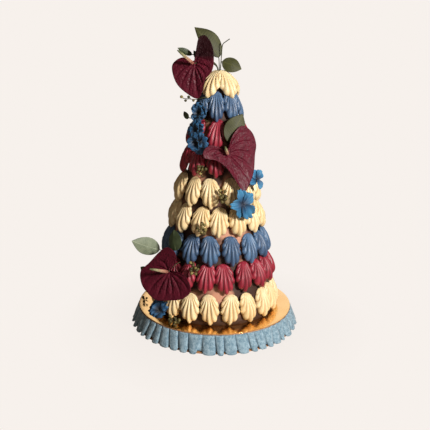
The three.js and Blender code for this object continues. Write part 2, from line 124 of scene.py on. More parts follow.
class Tree:
    def __init__(self, nodeTree):
        self.nodes, self.links = nodeTree.nodes, nodeTree.links

    def add(self, kind, settings=None, inputs=None, output=0):
        node = self.nodes.new(kind)
        for key, value in (settings or {}).items():
            if key == "stops":
                self.setStops(node.color_ramp, value)
            else:
                setattr(node, key, value)
        for key, value in (inputs or {}).items():
            self.feed(node.inputs[key], value)
        return Socket(self, node, output)

    def feed(self, target, value):
        if isinstance(value, Socket):
            self.links.new(value.node.outputs[value.index], target)
        else:
            target.default_value = value

    def setStops(self, ramp, stops):
        while len(ramp.elements) < len(stops):
            ramp.elements.new(0.5)
        for element, (place, colour) in zip(ramp.elements, stops):
            element.position, element.color = place, colour

    def calc(self, operation, *values):
        return self.add("ShaderNodeMath", {"operation": operation}, dict(enumerate(values)))

    def mix(self, factor, first, second):
        return self.add("ShaderNodeMix", {"data_type": "RGBA"}, {0: factor, 6: first, 7: second}, 2)

    def vector(self, operation, *values):
        return self.add("ShaderNodeVectorMath", {"operation": operation}, dict(enumerate(values)))

    def noise(self, place, scale, detail=3, roughness=0.55):
        inputs = {"Vector": place, "Scale": scale, "Detail": detail, "Roughness": roughness}
        return self.add("ShaderNodeTexNoise", None, inputs)

    def stored(self, name, output="Fac"):
        return self.add("ShaderNodeAttribute", {"attribute_name": name}, None, output)

    def between(self, value, low, high):
        inputs = {"Value": value, "From Min": low, "From Max": high}
        return self.add("ShaderNodeMapRange", {"clamp": True}, inputs)

    def bump(self, height, depth, strength=1.0):
        inputs = {"Height": height, "Distance": depth, "Strength": strength}
        return self.add("ShaderNodeBump", None, inputs)


def shade(text):
    channels = [int(text[i:i + 2], 16) / 255 for i in (1, 3, 5)]
    return (*[c / 12.92 if c <= 0.04045 else ((c + 0.055) / 1.055) ** 2.4 for c in channels], 1)


def makeFinish(name, paint, **constants):
    material = bpy.data.materials.new(name)
    material.use_nodes = True
    tree = Tree(material.node_tree)
    surface = tree.nodes["Principled BSDF"]
    for key, value in constants.items():
        surface.inputs[key.replace("_", " ")].default_value = value
    place = tree.add("ShaderNodeTexCoord", None, None, "Object")
    for key, value in paint(tree, place).items():
        tree.feed(surface.inputs[key], value)
    return material


def startGroup(name, sizes):
    group = bpy.data.node_groups.new(name, "GeometryNodeTree")
    for label, kind in sizes.items():
        group.interface.new_socket(label, in_out="INPUT", socket_type="NodeSocket" + kind)
    group.interface.new_socket("Geometry", in_out="OUTPUT", socket_type="NodeSocketGeometry")
    tree = Tree(group)
    return group, tree, tree.add("NodeGroupInput")


def endGroup(tree, instances, material):
    solid = tree.add("GeometryNodeRealizeInstances", None, {"Geometry": instances})
    painted = tree.add("GeometryNodeSetMaterial", None, {"Geometry": solid, "Material": material})
    tree.add("NodeGroupOutput", None, {"Geometry": painted})


def randomValue(tree, low, high, seed):
    inputs = {2: low, 3: high, "Seed": seed}
    return tree.add("FunctionNodeRandomValue", {"data_type": "FLOAT"}, inputs, 1)


def pickFrom(tree, points, collection, choices, seed, rotation, scale):
    found = tree.add("GeometryNodeCollectionInfo", None, {
        "Collection": collection, "Separate Children": True, "Reset Children": True})
    pick = tree.calc("FLOOR", randomValue(tree, 0, choices - 0.001, seed))
    return tree.add("GeometryNodeInstanceOnPoints", None, {
        "Points": points, "Instance": found, "Pick Instance": True, "Instance Index": pick,
        "Rotation": rotation, "Scale": scale})


def grow(name, group, values):
    holder = bpy.data.objects.new(name, bpy.data.meshes.new(name))
    scene.collection.objects.link(holder)
    modifier = holder.modifiers.new("rule", "NODES")
    modifier.node_group = group
    for item in group.interface.items_tree:
        if item.in_out == "INPUT":
            modifier[item.identifier] = values[item.name]
    depsgraph = bpy.context.evaluated_depsgraph_get()
    grown = holder.evaluated_get(depsgraph)
    mesh = bpy.data.meshes.new_from_object(grown, preserve_all_data_layers=True, depsgraph=depsgraph)
    holder.modifiers.remove(modifier)
    holder.data = mesh
    mesh.shade_smooth()
    return holder


# Meshes
def storeValues(mesh, name, kind, values):
    field = "vector" if kind == "FLOAT_VECTOR" else "value"
    stored = mesh.attributes.new(name, kind, "POINT")
    stored.data.foreach_set(field, np.asarray(values, np.float32).ravel())


def makeMesh(name, points, faces, stored=None):
    mesh = bpy.data.meshes.new(name)
    mesh.from_pydata(np.asarray(points, float).tolist(), [], faces)
    for key, (kind, values) in (stored or {}).items():
        storeValues(mesh, key, kind, values)
    mesh.shade_smooth()
    return mesh


def makeObject(name, mesh, *materials):
    piece = bpy.data.objects.new(name, mesh)
    for material in materials:
        mesh.materials.append(material)
    scene.collection.objects.link(piece)
    return piece


def settle(piece, slot, *nodes):
    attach(piece, "root")
    if nodes:
        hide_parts(*nodes)
    return piece


def makeStock(name, meshes):
    stock = bpy.data.collections.new(name)
    scene.collection.children.link(stock)
    for mesh in meshes:
        stock.objects.link(bpy.data.objects.new(mesh.name, mesh))
    return stock


def clearStock(stock):
    for item in list(stock.objects):
        bpy.data.objects.remove(item)
    bpy.data.collections.remove(stock)


def ringFaces(first, second, count):
    return [(first + i, first + (i + 1) % count, second + (i + 1) % count, second + i)
            for i in range(count)]


def fanFaces(apex, ring, count, flipped=False):
    pairs = [(ring + i, ring + (i + 1) % count) for i in range(count)]
    return [(apex, b, a) if flipped else (apex, a, b) for a, b in pairs]


def lathe(profile, sides):  # profile from the bottom pole to the top pole, as radius and height
    turns = 2 * math.pi * np.arange(sides) / sides
    points = [(0, 0, profile[0][1])]
    for radius, height in profile[1:-1]:
        points += [(radius * math.cos(t), radius * math.sin(t), height) for t in turns]
    points.append((0, 0, profile[-1][1]))
    rings = [1 + k * sides for k in range(len(profile) - 2)]
    faces = fanFaces(0, rings[0], sides, True)
    for low, high in zip(rings, rings[1:]):
        faces += ringFaces(low, high, sides)
    faces += fanFaces(len(points) - 1, rings[-1], sides)
    return np.array(points, float), faces


def noiseAt(points, size, seed):
    return np.array([noise.noise(Vector(p) / size + Vector((seed, seed, seed))) for p in points])


# Finishes
def chocolate(name, body, groove, light, roughness):
    def paint(tree, place):
        cloud = tree.noise(place, 30, 4)
        grain = tree.noise(place, 900, 2)
        tone = tree.stored("tone")
        bodyShade = tree.mix(tree.between(cloud + tone * 0.35, 0.45, 0.85), shade(body), shade(light))
        # Painted shade: the grooves between the ribs are mixed towards the dark groove colour.
        colour = tree.mix(tree.stored("groove") * 0.8, bodyShade, shade(groove))
        return {
            "Base Color": colour,
            "Roughness": roughness + cloud * 0.12 + grain * 0.04,
            "Normal": tree.bump(cloud * 0.6 + grain * 0.08, 0.8 * mm),
        }
    return makeFinish(name, paint, Coat_Weight=0.2, Coat_Roughness=0.36, Subsurface_Weight=0.04,
                      Subsurface_Radius=(0.004, 0.002, 0.001))


# Each coat: body colour, painted shade for the grooves, a lighter tone and roughness.
ivoryChocolate = chocolate("ivory_chocolate", "#e8cc98", "#b98c52", "#eedaae", 0.4)
slateChocolate = chocolate("slate_chocolate", "#3b5272", "#182a40", "#56769a", 0.38)
raspberryChocolate = chocolate("raspberry_chocolate", "#8a1a2e", "#3a0610", "#a62c40", 0.4)
chocolates = {"ivory": ivoryChocolate, "slate": slateChocolate, "raspberry": raspberryChocolate}


def goldPaint(tree, place):
    haze = tree.noise(place, 14, 3)
    rub = tree.noise(tree.vector("MULTIPLY", place, (40, 700, 1)), 1, 2)
    return {
        "Base Color": tree.mix(haze, shade("#f4cc8d"), shade("#dfab66")),
        "Roughness": 0.13 + haze * 0.12 + rub * 0.03,
        "Normal": tree.bump(haze, 1.2 * mm, 0.5),
    }


def kraftPaint(tree, place):
    fibre = tree.noise(tree.vector("MULTIPLY", place, (300, 300, 900)), 1, 3)
    return {
        "Base Color": tree.mix(fibre, shade("#a06d45"), shade("#c8946a")),
        "Roughness": 0.75 + fibre * 0.15,
        "Normal": tree.bump(fibre, 0.3 * mm),
    }


def drumPaint(tree, place):
    cloud = tree.noise(place, 45, 3)
    return {
        "Base Color": tree.mix(cloud, shade("#d8cbb2"), shade("#e4dac6")),
        "Roughness": 0.7 + cloud * 0.15,
        "Normal": tree.bump(cloud, 0.4 * mm),
    }


def icingPaint(tree, place):
    cloud = tree.noise(place, 28, 4)
    stroke = tree.noise(tree.vector("MULTIPLY", place, (60, 60, 260)), 1, 3)
    # Painted shade: the core is dark brown for the shade between the cakes, with peach patches from noise
    # standing for lit spots. The band just above the card is plain dark brown, painted shade under the
    # lowest row.
    patch = tree.between(tree.noise(place, 13, 2), 0.5, 0.62)
    peachPatchesInShade = tree.mix(patch, tree.mix(cloud, shade("#2c170f"), shade("#48291c")), shade("#c08a70"))
    height = tree.add("ShaderNodeSeparateXYZ", None, {"Vector": place}, "Z")
    high = tree.between(height, cardTop + 12 * mm, cardTop + 50 * mm)  # above the painted shade at the foot
    return {
        "Base Color": tree.mix(high, shade("#3c2317"), peachPatchesInShade),
        "Roughness": 0.6 + stroke * 0.2,
        "Normal": tree.bump(stroke * 0.7 + cloud, 1.0 * mm),
    }


def feltPaint(tree, place):
    cloud = tree.noise(place, 130, 4, 0.65)
    fibre = tree.noise(place, 520, 4, 0.7)
    mottled = tree.mix(tree.between(cloud, 0.38, 0.64), shade("#587a8f"), shade("#94afbe"))
    return {
        "Base Color": tree.mix(tree.between(fibre, 0.45, 0.75) * 0.55, mottled, shade("#bccdd7")),
        "Roughness": 0.88 + fibre * 0.1,
        "Normal": tree.bump(fibre * 0.7 + cloud, 1.4 * mm, 0.9),
    }


def spathePaint(tree, place):
    plane = tree.stored("plane", "Vector")
    net = tree.add("ShaderNodeTexVoronoi", {"feature": "DISTANCE_TO_EDGE"},
                   {"Vector": plane, "Scale": 205}, "Distance")
    fineVein = 1 - tree.between(net, 0.03, 0.22)
    vein = tree.calc("MAXIMUM", tree.stored("vein"), fineVein * 0.8)
    cloud = tree.noise(plane, 55, 4)
    flesh = tree.mix(tree.between(cloud, 0.35, 0.7), shade("#28050c"), shade("#4d0a1a"))
    # The paler network stands partly for the veins and partly for painted highlight where the puckers
    # catch the light.
    veinsAndSheen = tree.mix(vein * 0.5, flesh, shade("#7a2139"))
    return {
        # The stored darkening is painted shade on the top spathe's upper lobe.
        "Base Color": tree.mix(tree.stored("dusk"), veinsAndSheen, shade("#1d0509")),
        "Roughness": 0.5 + cloud * 0.15,
        "Normal": tree.bump(tree.between(net, 0, 0.3), 0.7 * mm, 0.6),
    }


def spadixPaint(tree, place):
    along = tree.stored("along")
    cloud = tree.noise(place, 300, 3)
    stops = [(0, shade("#ab6153")), (0.35, shade("#c79a80")), (0.62, shade("#a7a37c")),
             (0.88, shade("#5d6a42"))]
    ramp = tree.add("ShaderNodeValToRGB", {"stops": stops}, {"Fac": along})
    return {
        "Base Color": tree.mix(cloud * 0.3, ramp, shade("#6b5238")),
        "Roughness": 0.5 + cloud * 0.2,
        "Normal": tree.bump(cloud, 0.3 * mm),
    }


def leafy(name, body, light, vein, roughness):
    def paint(tree, place):
        plane = tree.stored("plane", "Vector")
        cloud = tree.noise(plane, 60, 4)
        net = tree.add("ShaderNodeTexVoronoi", {"feature": "DISTANCE_TO_EDGE"},
                       {"Vector": plane, "Scale": 420}, "Distance")
        fresh = tree.mix(tree.between(cloud, 0.35, 0.7), shade(body), shade(light))
        netted = tree.mix((1 - tree.between(net, 0, 0.12)) * 0.25, fresh, shade(vein))
        return {
            "Base Color": tree.mix(tree.stored("vein") * 0.75, netted, shade(vein)),
            "Roughness": roughness + cloud * 0.15,
            "Normal": tree.bump(tree.between(net, 0, 0.2) * 0.5 + cloud, 0.3 * mm, 0.4),
        }
    return makeFinish(name, paint)


def petalled(name, body, light, throat):
    def paint(tree, place):
        along = tree.stored("along")
        streak = tree.noise(tree.vector("MULTIPLY", tree.stored("plane", "Vector"), (900, 90, 1)), 1, 3)
        # Painted highlight: the petals lighten towards their tips. Painted shade: they darken into the
        # throat.
        spread = tree.mix(tree.between(along + streak * 0.4, 0.6, 1.25), shade(body), shade(light))
        deep = tree.mix(1 - tree.between(along, 0.1, 0.45), spread, shade(throat))
        return {
            "Base Color": tree.mix(tree.between(streak, 0.5, 0.8) * 0.35, deep, shade(throat)),
            "Roughness": 0.5 + streak * 0.2,
            "Normal": tree.bump(streak, 0.5 * mm, 0.6),
        }
    return makeFinish(name, paint, Sheen_Weight=0.2)


def berryPaint(tree, place):
    cloud = tree.noise(place, 180, 3)
    stops = [(0.3, shade("#3a3418")), (0.5, shade("#62562a")), (0.75, shade("#95864f"))]
    mood = cloud * 0.5 + tree.stored("tone") * 0.5
    ramp = tree.add("ShaderNodeValToRGB", {"stops": stops}, {"Fac": mood})
    return {
        "Base Color": ramp,
        "Roughness": 0.45 + cloud * 0.2,
        "Normal": tree.bump(cloud, 0.4 * mm),
    }


goldFoil = makeFinish("gold_foil", goldPaint, Metallic=1.0)
kraftBoard = makeFinish("kraft_board", kraftPaint)
drumIcing = makeFinish("drum_icing", drumPaint)
peachIcing = makeFinish("peach_icing", icingPaint)
slateFelt = makeFinish("slate_felt", feltPaint, Sheen_Weight=0.35, Sheen_Roughness=0.5)
spatheFlesh = makeFinish("spathe_flesh", spathePaint, Coat_Weight=0.08, Coat_Roughness=0.3,
                         Specular_IOR_Level=0.16)
spadixFlesh = makeFinish("spadix_flesh", spadixPaint)
oliveLeaf = leafy("olive_leaf", "#2a2c11", "#3d3f19", "#58582a", 0.55)
darkLeaf = leafy("dark_leaf", "#1f2817", "#36422a", "#4e5a38", 0.42)
paleLeaf = leafy("pale_leaf", "#5f6a54", "#858d76", "#98a088", 0.5)
# Each petal finish: body colour, painted highlight colour and painted throat shade.
brightPetal = petalled("bright_petal", "#175780", "#3f8ab4", "#081c36")
tealPetal = petalled("teal_petal", "#041f38", "#185a88", "#020a14")
berrySkin = makeFinish("berry_skin", berryPaint)
print("finishes made")

# The stand: smooth discs for board and card, the drum as it is, and a pleated skirt
stand = {"sides": 180, "edge": 0.5, "skirtWall": 0.8}


def bevelledDisc(name, node, slot, face, side=None):
    low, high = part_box(node)
    radius = (high.x - low.x) / 2
    edge = min(stand["edge"] * mm, (high.z - low.z) / 3)
    steps = np.linspace(0, math.pi / 2, 4)
    lower = [(radius - edge + edge * math.sin(a), low.z + edge - edge * math.cos(a)) for a in steps]
    upper = [(r, low.z + high.z - z) for r, z in reversed(lower)]
    inner = [(radius * share, low.z) for share in (0.5, 0.9)]
    outer = [(radius * share, high.z) for share in (0.9, 0.5)]
    points, faces = lathe([(0, low.z), *inner, *lower, *upper, *outer, (0, high.z)], stand["sides"])
    piece = makeObject(name, makeMesh(name, points, faces), face, *([side] if side else []))
    if side:
        for polygon in piece.data.polygons:
            polygon.material_index = int(polygon.center.z < high.z - edge * 0.4)
    return settle(piece, slot, node)


bevelledDisc("card_disc", "gold_card", "gold_card", goldFoil, kraftBoard)
bevelledDisc("board_disc", "base_board", "board", kraftBoard)
frame["nodes"]["drum"].data.materials.clear()
frame["nodes"]["drum"].data.materials.append(drumIcing)

skirt = {
    "pleats": 46, "topRadius": 198.7, "hemRadius": 214, "top": 44.6, "hem": 0.5, "lifted": 4.6,
    "depthTop": 2.0, "depthHem": 5.6, "openTop": 0.1, "openHem": 0.2, "levels": 14,
    "widthSpread": 0.28, "slant": 0.34, "swell": 1.2, "crumple": 1.6, "sag": 1.6, "seed": 11,
}


def pleatPath(opening):  # a pleat's recess, its rounded face and the way back, as share and depth
    face = 1 - opening
    rise = [(0.0, -0.75), (0.03, -0.2), (0.09, 0.26), (0.2, 0.62), (0.35, 0.87), (0.52, 0.99),
            (0.68, 0.99), (0.82, 0.88), (0.92, 0.62), (0.98, 0.25)]
    path = [(0.02, -0.96), (opening * 0.4, -1.0), (opening * 0.85, -0.92)]
    path += [(opening + face * share, depth) for share, depth in rise]
    return path + [(1.0, -0.15), (1.0, -0.55), (0.995, -0.85)]


def makeSkirt():
    rng = np.random.default_rng(skirt["seed"])
    pleats, levels = skirt["pleats"], skirt["levels"]
    widths = 1 + skirt["widthSpread"] * rng.uniform(-1, 1, pleats)
    edges = np.concatenate([[0], np.cumsum(widths)]) / widths.sum() * 2 * math.pi
    openings = rng.uniform(0.5, 1.5, pleats)
    slants = rng.uniform(-1, 1, pleats)
    swells = rng.uniform(-1, 1, pleats)
    points = []
    for level in range(levels + 1):
        down = level / levels
        opening = skirt["openTop"] + (skirt["openHem"] - skirt["openTop"]) * down ** 1.2
        depthHere = skirt["depthTop"] + (skirt["depthHem"] - skirt["depthTop"]) * down ** 0.9
        middle = skirt["topRadius"] + (skirt["hemRadius"] - skirt["topRadius"]) * down ** 0.9
        for k in range(pleats):
            for share, depth in pleatPath(opening * openings[k]):
                inFace = min(max((share - opening) / (1 - opening), 0), 1)
                bulge = math.sin(math.pi * inFace)
                crumple = noise.noise(Vector((share * 2.4 + 3 * k, 2.5 * down, 7)))
                radius = middle + depthHere * depth + skirt["crumple"] * crumple * down
                radius += skirt["swell"] * down * bulge * swells[k]
                slant = slants[k] + (slants[(k + 1) % pleats] - slants[k]) * share
                angle = edges[k] + (edges[k + 1] - edges[k]) * share
                angle += skirt["slant"] * slant * down ** 1.3 * 2 * math.pi / pleats
                low = skirt["hem"] + skirt["lifted"] * (0.5 - 0.5 * min(max(depth * 1.6, -1), 1)) ** 1.5
                low += skirt["sag"] * (1 - bulge ** 0.7) + 0.4 * (swells[k] + 1) * bulge
                z = skirt["top"] + (low - skirt["top"]) * down
                points.append((radius * math.sin(angle), -radius * math.cos(angle), z))
    count = len(points) // (levels + 1)
    faces = []
    for level in range(levels):
        faces += ringFaces((level + 1) * count, level * count, count)
    mesh = makeMesh("pleated_skirt", np.array(points) * mm, faces)
    piece = makeObject("pleated_skirt", mesh, slateFelt)
    wall = piece.modifiers.new("cloth thickness", "SOLIDIFY")
    wall.thickness = stand["skirtWall"] * mm
    wall.offset = -1
    settle(piece, "cloth", "skirt")
    return piece


def flatCut(piece):  # the cut cloth's length, measured along the pleats of the hem, and its height
    corners = [vertex.co for vertex in piece.data.vertices]
    count = len(corners) // (skirt["levels"] + 1)
    hem = corners[-count:]
    length = sum((a - b).length for a, b in zip(hem, hem[1:] + hem[:1]))
    fold = len(pleatPath(0)) * 2 + 9  # a point on the third pleat's face
    height = sum((corners[k * count + fold] - corners[(k + 1) * count + fold]).length
                 for k in range(skirt["levels"]))
    return round(length, 3), round(height, 4)


pleatedSkirt = makeSkirt()
cut = flatCut(pleatedSkirt)
print("stand made, skirt cut", cut)

# Core: the icing-covered cone
core = {"radius": 154.7, "taper": 0.221, "neck": 560, "top": 600, "topRadius": 7, "sides": 96,
        "levels": 60, "low": 0.3, "uneven": 0.9, "lumpSize": 24}
slope = math.atan(core["taper"])


def coreRadius(height):
    return core["radius"] - core["taper"] * height


def makeCore():
    heights = np.linspace(core["low"], core["neck"], core["levels"])
    profile = [(0, core["low"]), (coreRadius(0) * 0.6, core["low"])]
    profile += [(coreRadius(h) - core["uneven"], h) for h in heights]
    profile += [(core["topRadius"] * s, core["top"] - (1 - s) * 0.2) for s in (1, 0.5)]
    profile.append((0, core["top"]))
    points, faces = lathe(profile, core["sides"])
    lumps = noiseAt(points, core["lumpSize"], 3) * core["uneven"]
    ring = np.hypot(points[:, 0], points[:, 1])
    swell = 1 + np.where(ring > 1, lumps / np.maximum(ring, 1), 0)
    points[:, 0] *= swell
    points[:, 1] *= swell
    points[:, 2] += cardTop / mm
    piece = makeObject("core_icing", makeMesh("core_icing", points * mm, faces), peachIcing)
    settle(piece, "core", "core")


makeCore()

# Cakes: ribs fan out from the head, rise over the crown and end in the scallops of the rim
cake = {
    "length": 76, "tail": 34, "width": 50, "rim": 3.0, "crown": 13.4, "ribs": 9, "ribStep": 50,
    "ribEase": 0.07, "tailPower": 1.2, "headPower": 0.94, "headFullness": 0.45, "scallop": 0.15,
    "relief": 4.6, "spring": -37, "springWidth": 0.26, "springDepth": 3, "bend": 1.25, "lean": 2.8,
    "fadeEnd": 154, "fadeOver": 62, "headHeight": 0.66, "domeRound": 2.8, "domePower": 0.6, "hub": 0.62,
    "headRound": 2.2, "ribUneven": 0.2, "lumps": 0.45, "lumpSize": 17, "kinds": 5, "seed": 40,
}
ribColumns = (-0.5, -0.44, -0.33, -0.17, 0, 0.17, 0.33, 0.44)
cakeRings = (0.0, 0.08, 0.16, 0.25, 0.34, 0.44, 0.54, 0.64, 0.74, 0.82, 0.89, 0.94, 0.975, 1.0)


def cakeEdge(tau):  # the outline round the middle: across, and towards the tail
    ahead = np.cos(tau) > 0
    ease = np.abs(np.cos(tau)) ** np.where(ahead, cake["tailPower"], cake["headPower"])
    tailX = np.abs(np.sin(tau)) ** cake["tailPower"]
    headX = np.maximum(1 - ease ** cake["headRound"], 0) ** cake["headFullness"]
    x = np.sign(np.sin(tau)) * np.where(ahead, tailX, headX) * cake["width"] / 2
    v = np.where(ahead, cake["tail"], cake["tail"] - cake["length"]) * ease
    return x, v


def cakeMesh(kind):
    rng = np.random.default_rng(cake["seed"] + kind)
    half = cake["ribs"] // 2
    phase = np.array([k + c for k in range(-half, half + 1) for c in ribColumns] + [half + 0.5])
    turns = cake["ribStep"] * phase * (1 - cake["ribEase"] * np.abs(phase))
    turns = np.concatenate([turns, turns[-1] + (360 - 2 * turns[-1]) * np.arange(1, 6) / 6])
    phase = np.concatenate([phase, [half + 0.5] * 5])
    count = len(turns)
    ribbed = np.abs(np.cos(np.pi * phase))
    fade = np.clip((cake["fadeEnd"] - np.abs((turns + 180) % 360 - 180)) / cake["fadeOver"], 0, 1)
    rib = np.clip(np.round(phase).astype(int) + half, 0, cake["ribs"])
    ribSize = 1 + cake["ribUneven"] * rng.uniform(-1, 1, cake["ribs"] + 1)[rib]
    edgeX, edgeV = cakeEdge(np.radians(turns))
    notch = 1 - cake["scallop"] * (1 - ribbed) * fade * ribSize
    edgeX, edgeV = edgeX * notch, edgeV * notch
    around = np.arctan2(edgeX, edgeV)
    order = np.argsort(around)
    lean = cake["lean"] * rng.uniform(-1, 1)  # the tail's sideways bend
    lift = 1 + 0.05 * rng.uniform(-1, 1)
    points, grooveShades = [], []

    def addRing(x, v, z, depth):
        bent = lean * (v / cake["tail"]) ** 2 * np.sign(v)
        points.extend(np.stack([x + bent, cake["tail"] - v, z], 1))
        grooveShades.extend(depth)

    for share in cakeRings:  # from where the ribs spring, near the head, to the rim
        spread = cake["springWidth"] + (1 - cake["springWidth"]) * share ** cake["bend"]
        springV = cake["spring"] + cake["springDepth"] * np.cos(np.radians(turns))
        x, v = edgeX * spread, springV + (edgeV - springV) * share
        rim = np.hypot(edgeX, edgeV)
        reach = np.interp(np.arctan2(x, v), around[order], rim[order], period=2 * np.pi)
        q = np.clip(np.hypot(x, v) / reach, 0, 1)
        slopeDown = np.interp(v, [cake["tail"] - cake["length"], 0], [cake["headHeight"], 1])
        dome = cake["crown"] * lift * slopeDown * (1 - q ** cake["domeRound"]) ** cake["domePower"]
        shown = np.clip(share / 0.6, 0, 1) ** 0.8 * fade * (1 - 0.6 * share ** 6)
        z = cake["rim"] + dome + cake["relief"] * ribSize * (ribbed - cake["hub"]) * shown
        # The last value is painted shade for the grooves: full in the valleys between ribs, none on the
        # crests, fading towards the head.
        addRing(x, v, z, (1 - ribbed) ** 1.5 * fade * min(share / 0.55, 1))
    # The rim and the back carry a little of the painted groove shade.
    for share, z in ((0.985, cake["rim"] * 0.35), (0.94, 0.0), (0.6, -1.2)):
        addRing(edgeX * share, edgeV * share, np.full(count, z), np.full(count, 0.25))
    rings = len(cakeRings) + 3
    spring = np.array(points[:count])
    points.append((0, cake["tail"] - cake["spring"], spring[:, 2].mean()))
    points.append((0, cake["tail"], -1.5))
    grooveShades += [0, 0]
    faces = fanFaces(rings * count, 0, count)
    for k in range(rings - 1):
        faces += ringFaces((k + 1) * count, k * count, count)
    faces += fanFaces(rings * count + 1, (rings - 1) * count, count, True)
    points = np.array(points, float)
    lumps = cake["lumps"] * noiseAt(points, cake["lumpSize"], 5.3 * kind + 1)
    points[:, 2] += lumps * (points[:, 2] > 1)  # not on the flat back
    return makeMesh(f"cake_{kind}", points * mm, faces, {"groove": ("FLOAT", grooveShades)})


def cakeRingGroup():
    group, tree, size = startGroup("ring of cakes", {
        "Count": "Int", "Foot Radius": "Float", "Tip Height": "Float", "Lean": "Float",
        "Turn": "Float", "Width": "Float", "Depth": "Float", "Unevenness": "Float", "Seed": "Int",
        "Cakes": "Collection", "Material": "Material"})
    index = tree.add("GeometryNodeInputIndex")
    seed, uneven = size["Seed"], size["Unevenness"]
    swing = randomValue(tree, -0.009, 0.009, seed) * uneven
    angle = size["Turn"] + index * (2 * math.pi) / size["Count"] + swing
    rise = randomValue(tree, -0.001, 0.001, seed + 1) * uneven
    place = tree.add("ShaderNodeCombineXYZ", None, {
        "X": size["Foot Radius"] * tree.calc("SINE", angle),
        "Y": size["Foot Radius"] * tree.calc("COSINE", angle) * -1,
        "Z": size["Tip Height"] + rise})
    points = tree.add("GeometryNodePoints", None, {"Count": size["Count"], "Position": place})
    tilt = math.pi / 2 - size["Lean"] + randomValue(tree, -0.03, 0.02, seed + 2) * uneven
    sway = randomValue(tree, -0.035, 0.035, seed + 3) * uneven
    rotation = tree.add("FunctionNodeEulerToRotation", None, {
        0: tree.add("ShaderNodeCombineXYZ", None, {"X": tilt, "Y": sway, "Z": angle})})
    big = 1 + randomValue(tree, -0.02, 0.02, seed + 4) * uneven
    scale = tree.add("ShaderNodeCombineXYZ", None, {
        "X": size["Width"] * big, "Y": 1,
        "Z": size["Depth"] * (1 + randomValue(tree, -0.06, 0.04, seed + 5) * uneven)})
    cakes = pickFrom(tree, points, size["Cakes"], cake["kinds"], seed + 6, rotation, scale)
    roll = randomValue(tree, -0.13, 0.13, seed + 7) * uneven
    twist = tree.add("ShaderNodeCombineXYZ", None, {"Y": roll})
    turned = tree.add("GeometryNodeRotateInstances", None, {
        "Instances": cakes, "Rotation": tree.add("FunctionNodeEulerToRotation", None, {0: twist}),
        "Local Space": True})
    toned = tree.add("GeometryNodeStoreNamedAttribute", {"data_type": "FLOAT", "domain": "INSTANCE"}, {
        "Geometry": turned, "Name": "tone", "Value": randomValue(tree, 0.0, 1.0, seed + 8)})
    endGroup(tree, toned, size["Material"])
    return group


# Rows from the card up, in mm above the card: tips, cakes, turn and how far the cakes' backs stand
# off the core at tail and head. Wide and deep scale a row's cakes.
rows = [
    {"tip": 2, "count": 19, "turn": -4.5, "tailOff": 3, "headOff": 1, "coat": "ivory"},
    {"tip": 79, "count": 18, "turn": -9.6, "tailOff": 10, "headOff": 1, "coat": "raspberry"},
    {"tip": 144, "count": 15, "turn": -6.2, "tailOff": 10, "headOff": 1, "coat": "slate"},
    {"tip": 214, "count": 14, "turn": 4, "tailOff": 10, "headOff": 1, "coat": "ivory"},
    {"tip": 282, "count": 12, "turn": -8.5, "tailOff": 10, "headOff": 1, "coat": "ivory"},
    {"tip": 355, "count": 10, "turn": -2.8, "tailOff": 10, "headOff": 1, "coat": "raspberry"},
    {"tip": 420, "count": 8, "turn": -5, "tailOff": 10, "headOff": 1, "coat": "raspberry",
     "wide": 0.94, "deep": 0.93},
    {"tip": 485, "count": 8, "turn": -5, "tailOff": 8, "headOff": 0.5, "coat": "slate", "wide": 0.82,
     "deep": 0.78},
    {"tip": 541, "count": 5, "turn": -33, "tailOff": 15, "headOff": -14, "coat": "ivory", "wide": 0.95,
     "deep": 0.95},
]


def makeRows():
    group = cakeRingGroup()
    stock = makeStock("cake kinds", [cakeMesh(kind) for kind in range(cake["kinds"])])
    for number, row in enumerate(rows, 1):
        lean = slope + math.atan((row["tailOff"] - row["headOff"]) / cake["length"])
        footRadius = coreRadius(row["tip"]) + row["tailOff"] * math.cos(slope)
        piece = grow(f"cakes_row_{number}", group, {
            "Count": row["count"], "Foot Radius": footRadius * mm,
            "Tip Height": cardTop + row["tip"] * mm, "Lean": lean, "Turn": math.radians(row["turn"]),
            "Width": row.get("wide", 1.0), "Depth": row.get("deep", 1.0),
            "Unevenness": 1.0, "Seed": 20 * number, "Cakes": stock,
            "Material": chocolates[row["coat"]]})
        settle(piece, f"{row['coat']}_cake", f"madeleine_row_{number}")
    clearStock(stock)


makeRows()
print("cakes made")


# Flowers and leaves: blades with a front, a back and an edge
def frameFacing(at, facing, upward=(0, 0, 1)):  # z looks along facing, y as far up as it can
    z = Vector(facing).normalized()
    x = Vector(upward).cross(z).normalized()
    y = z.cross(x)
    turned = Matrix((x, y, z)).transposed().to_4x4()
    return Matrix.Translation(Vector(at)) @ turned


def inTower(points, matrix):
    turned = np.array(matrix)[:3, :3]
    moved = np.asarray(points) @ turned.T + np.array(matrix)[:3, 3]
    return (moved + np.array([0, 0, cardTop / mm])) * mm


def blade(outline, rings, thickness, surface):
    # surface gives each point's height and vein mark from its place, share and station
    count = len(outline)
    shares = np.linspace(0, 1, rings + 1)[1:]
    x = np.concatenate([[0], np.outer(shares, outline[:, 0]).ravel()])
    y = np.concatenate([[0], np.outer(shares, outline[:, 1]).ravel()])
    share = np.concatenate([[0], np.repeat(shares, count)])
    edge = np.concatenate([[0], np.tile(outline[:, 2], rings)])
    z, vein = surface(x, y, share, edge)
    front = np.stack([x, y, z], 1)
    back = np.stack([x, y, z - thickness], 1)
    size = len(front)
    faces = fanFaces(0, 1, count)
    for k in range(rings - 1):
        faces += ringFaces(1 + k * count + count, 1 + k * count, count)
    faces += [tuple(i + size for i in reversed(face)) for face in faces]
    last = 1 + (rings - 1) * count
    faces += ringFaces(last + size, last, count)
    plane = np.stack([x, y, np.zeros(size)], 1) * mm
    stored = {"vein": ("FLOAT", np.tile(vein, 2)), "plane": ("FLOAT_VECTOR", np.tile(plane, (2, 1)))}
    return np.concatenate([front, back]), faces, stored


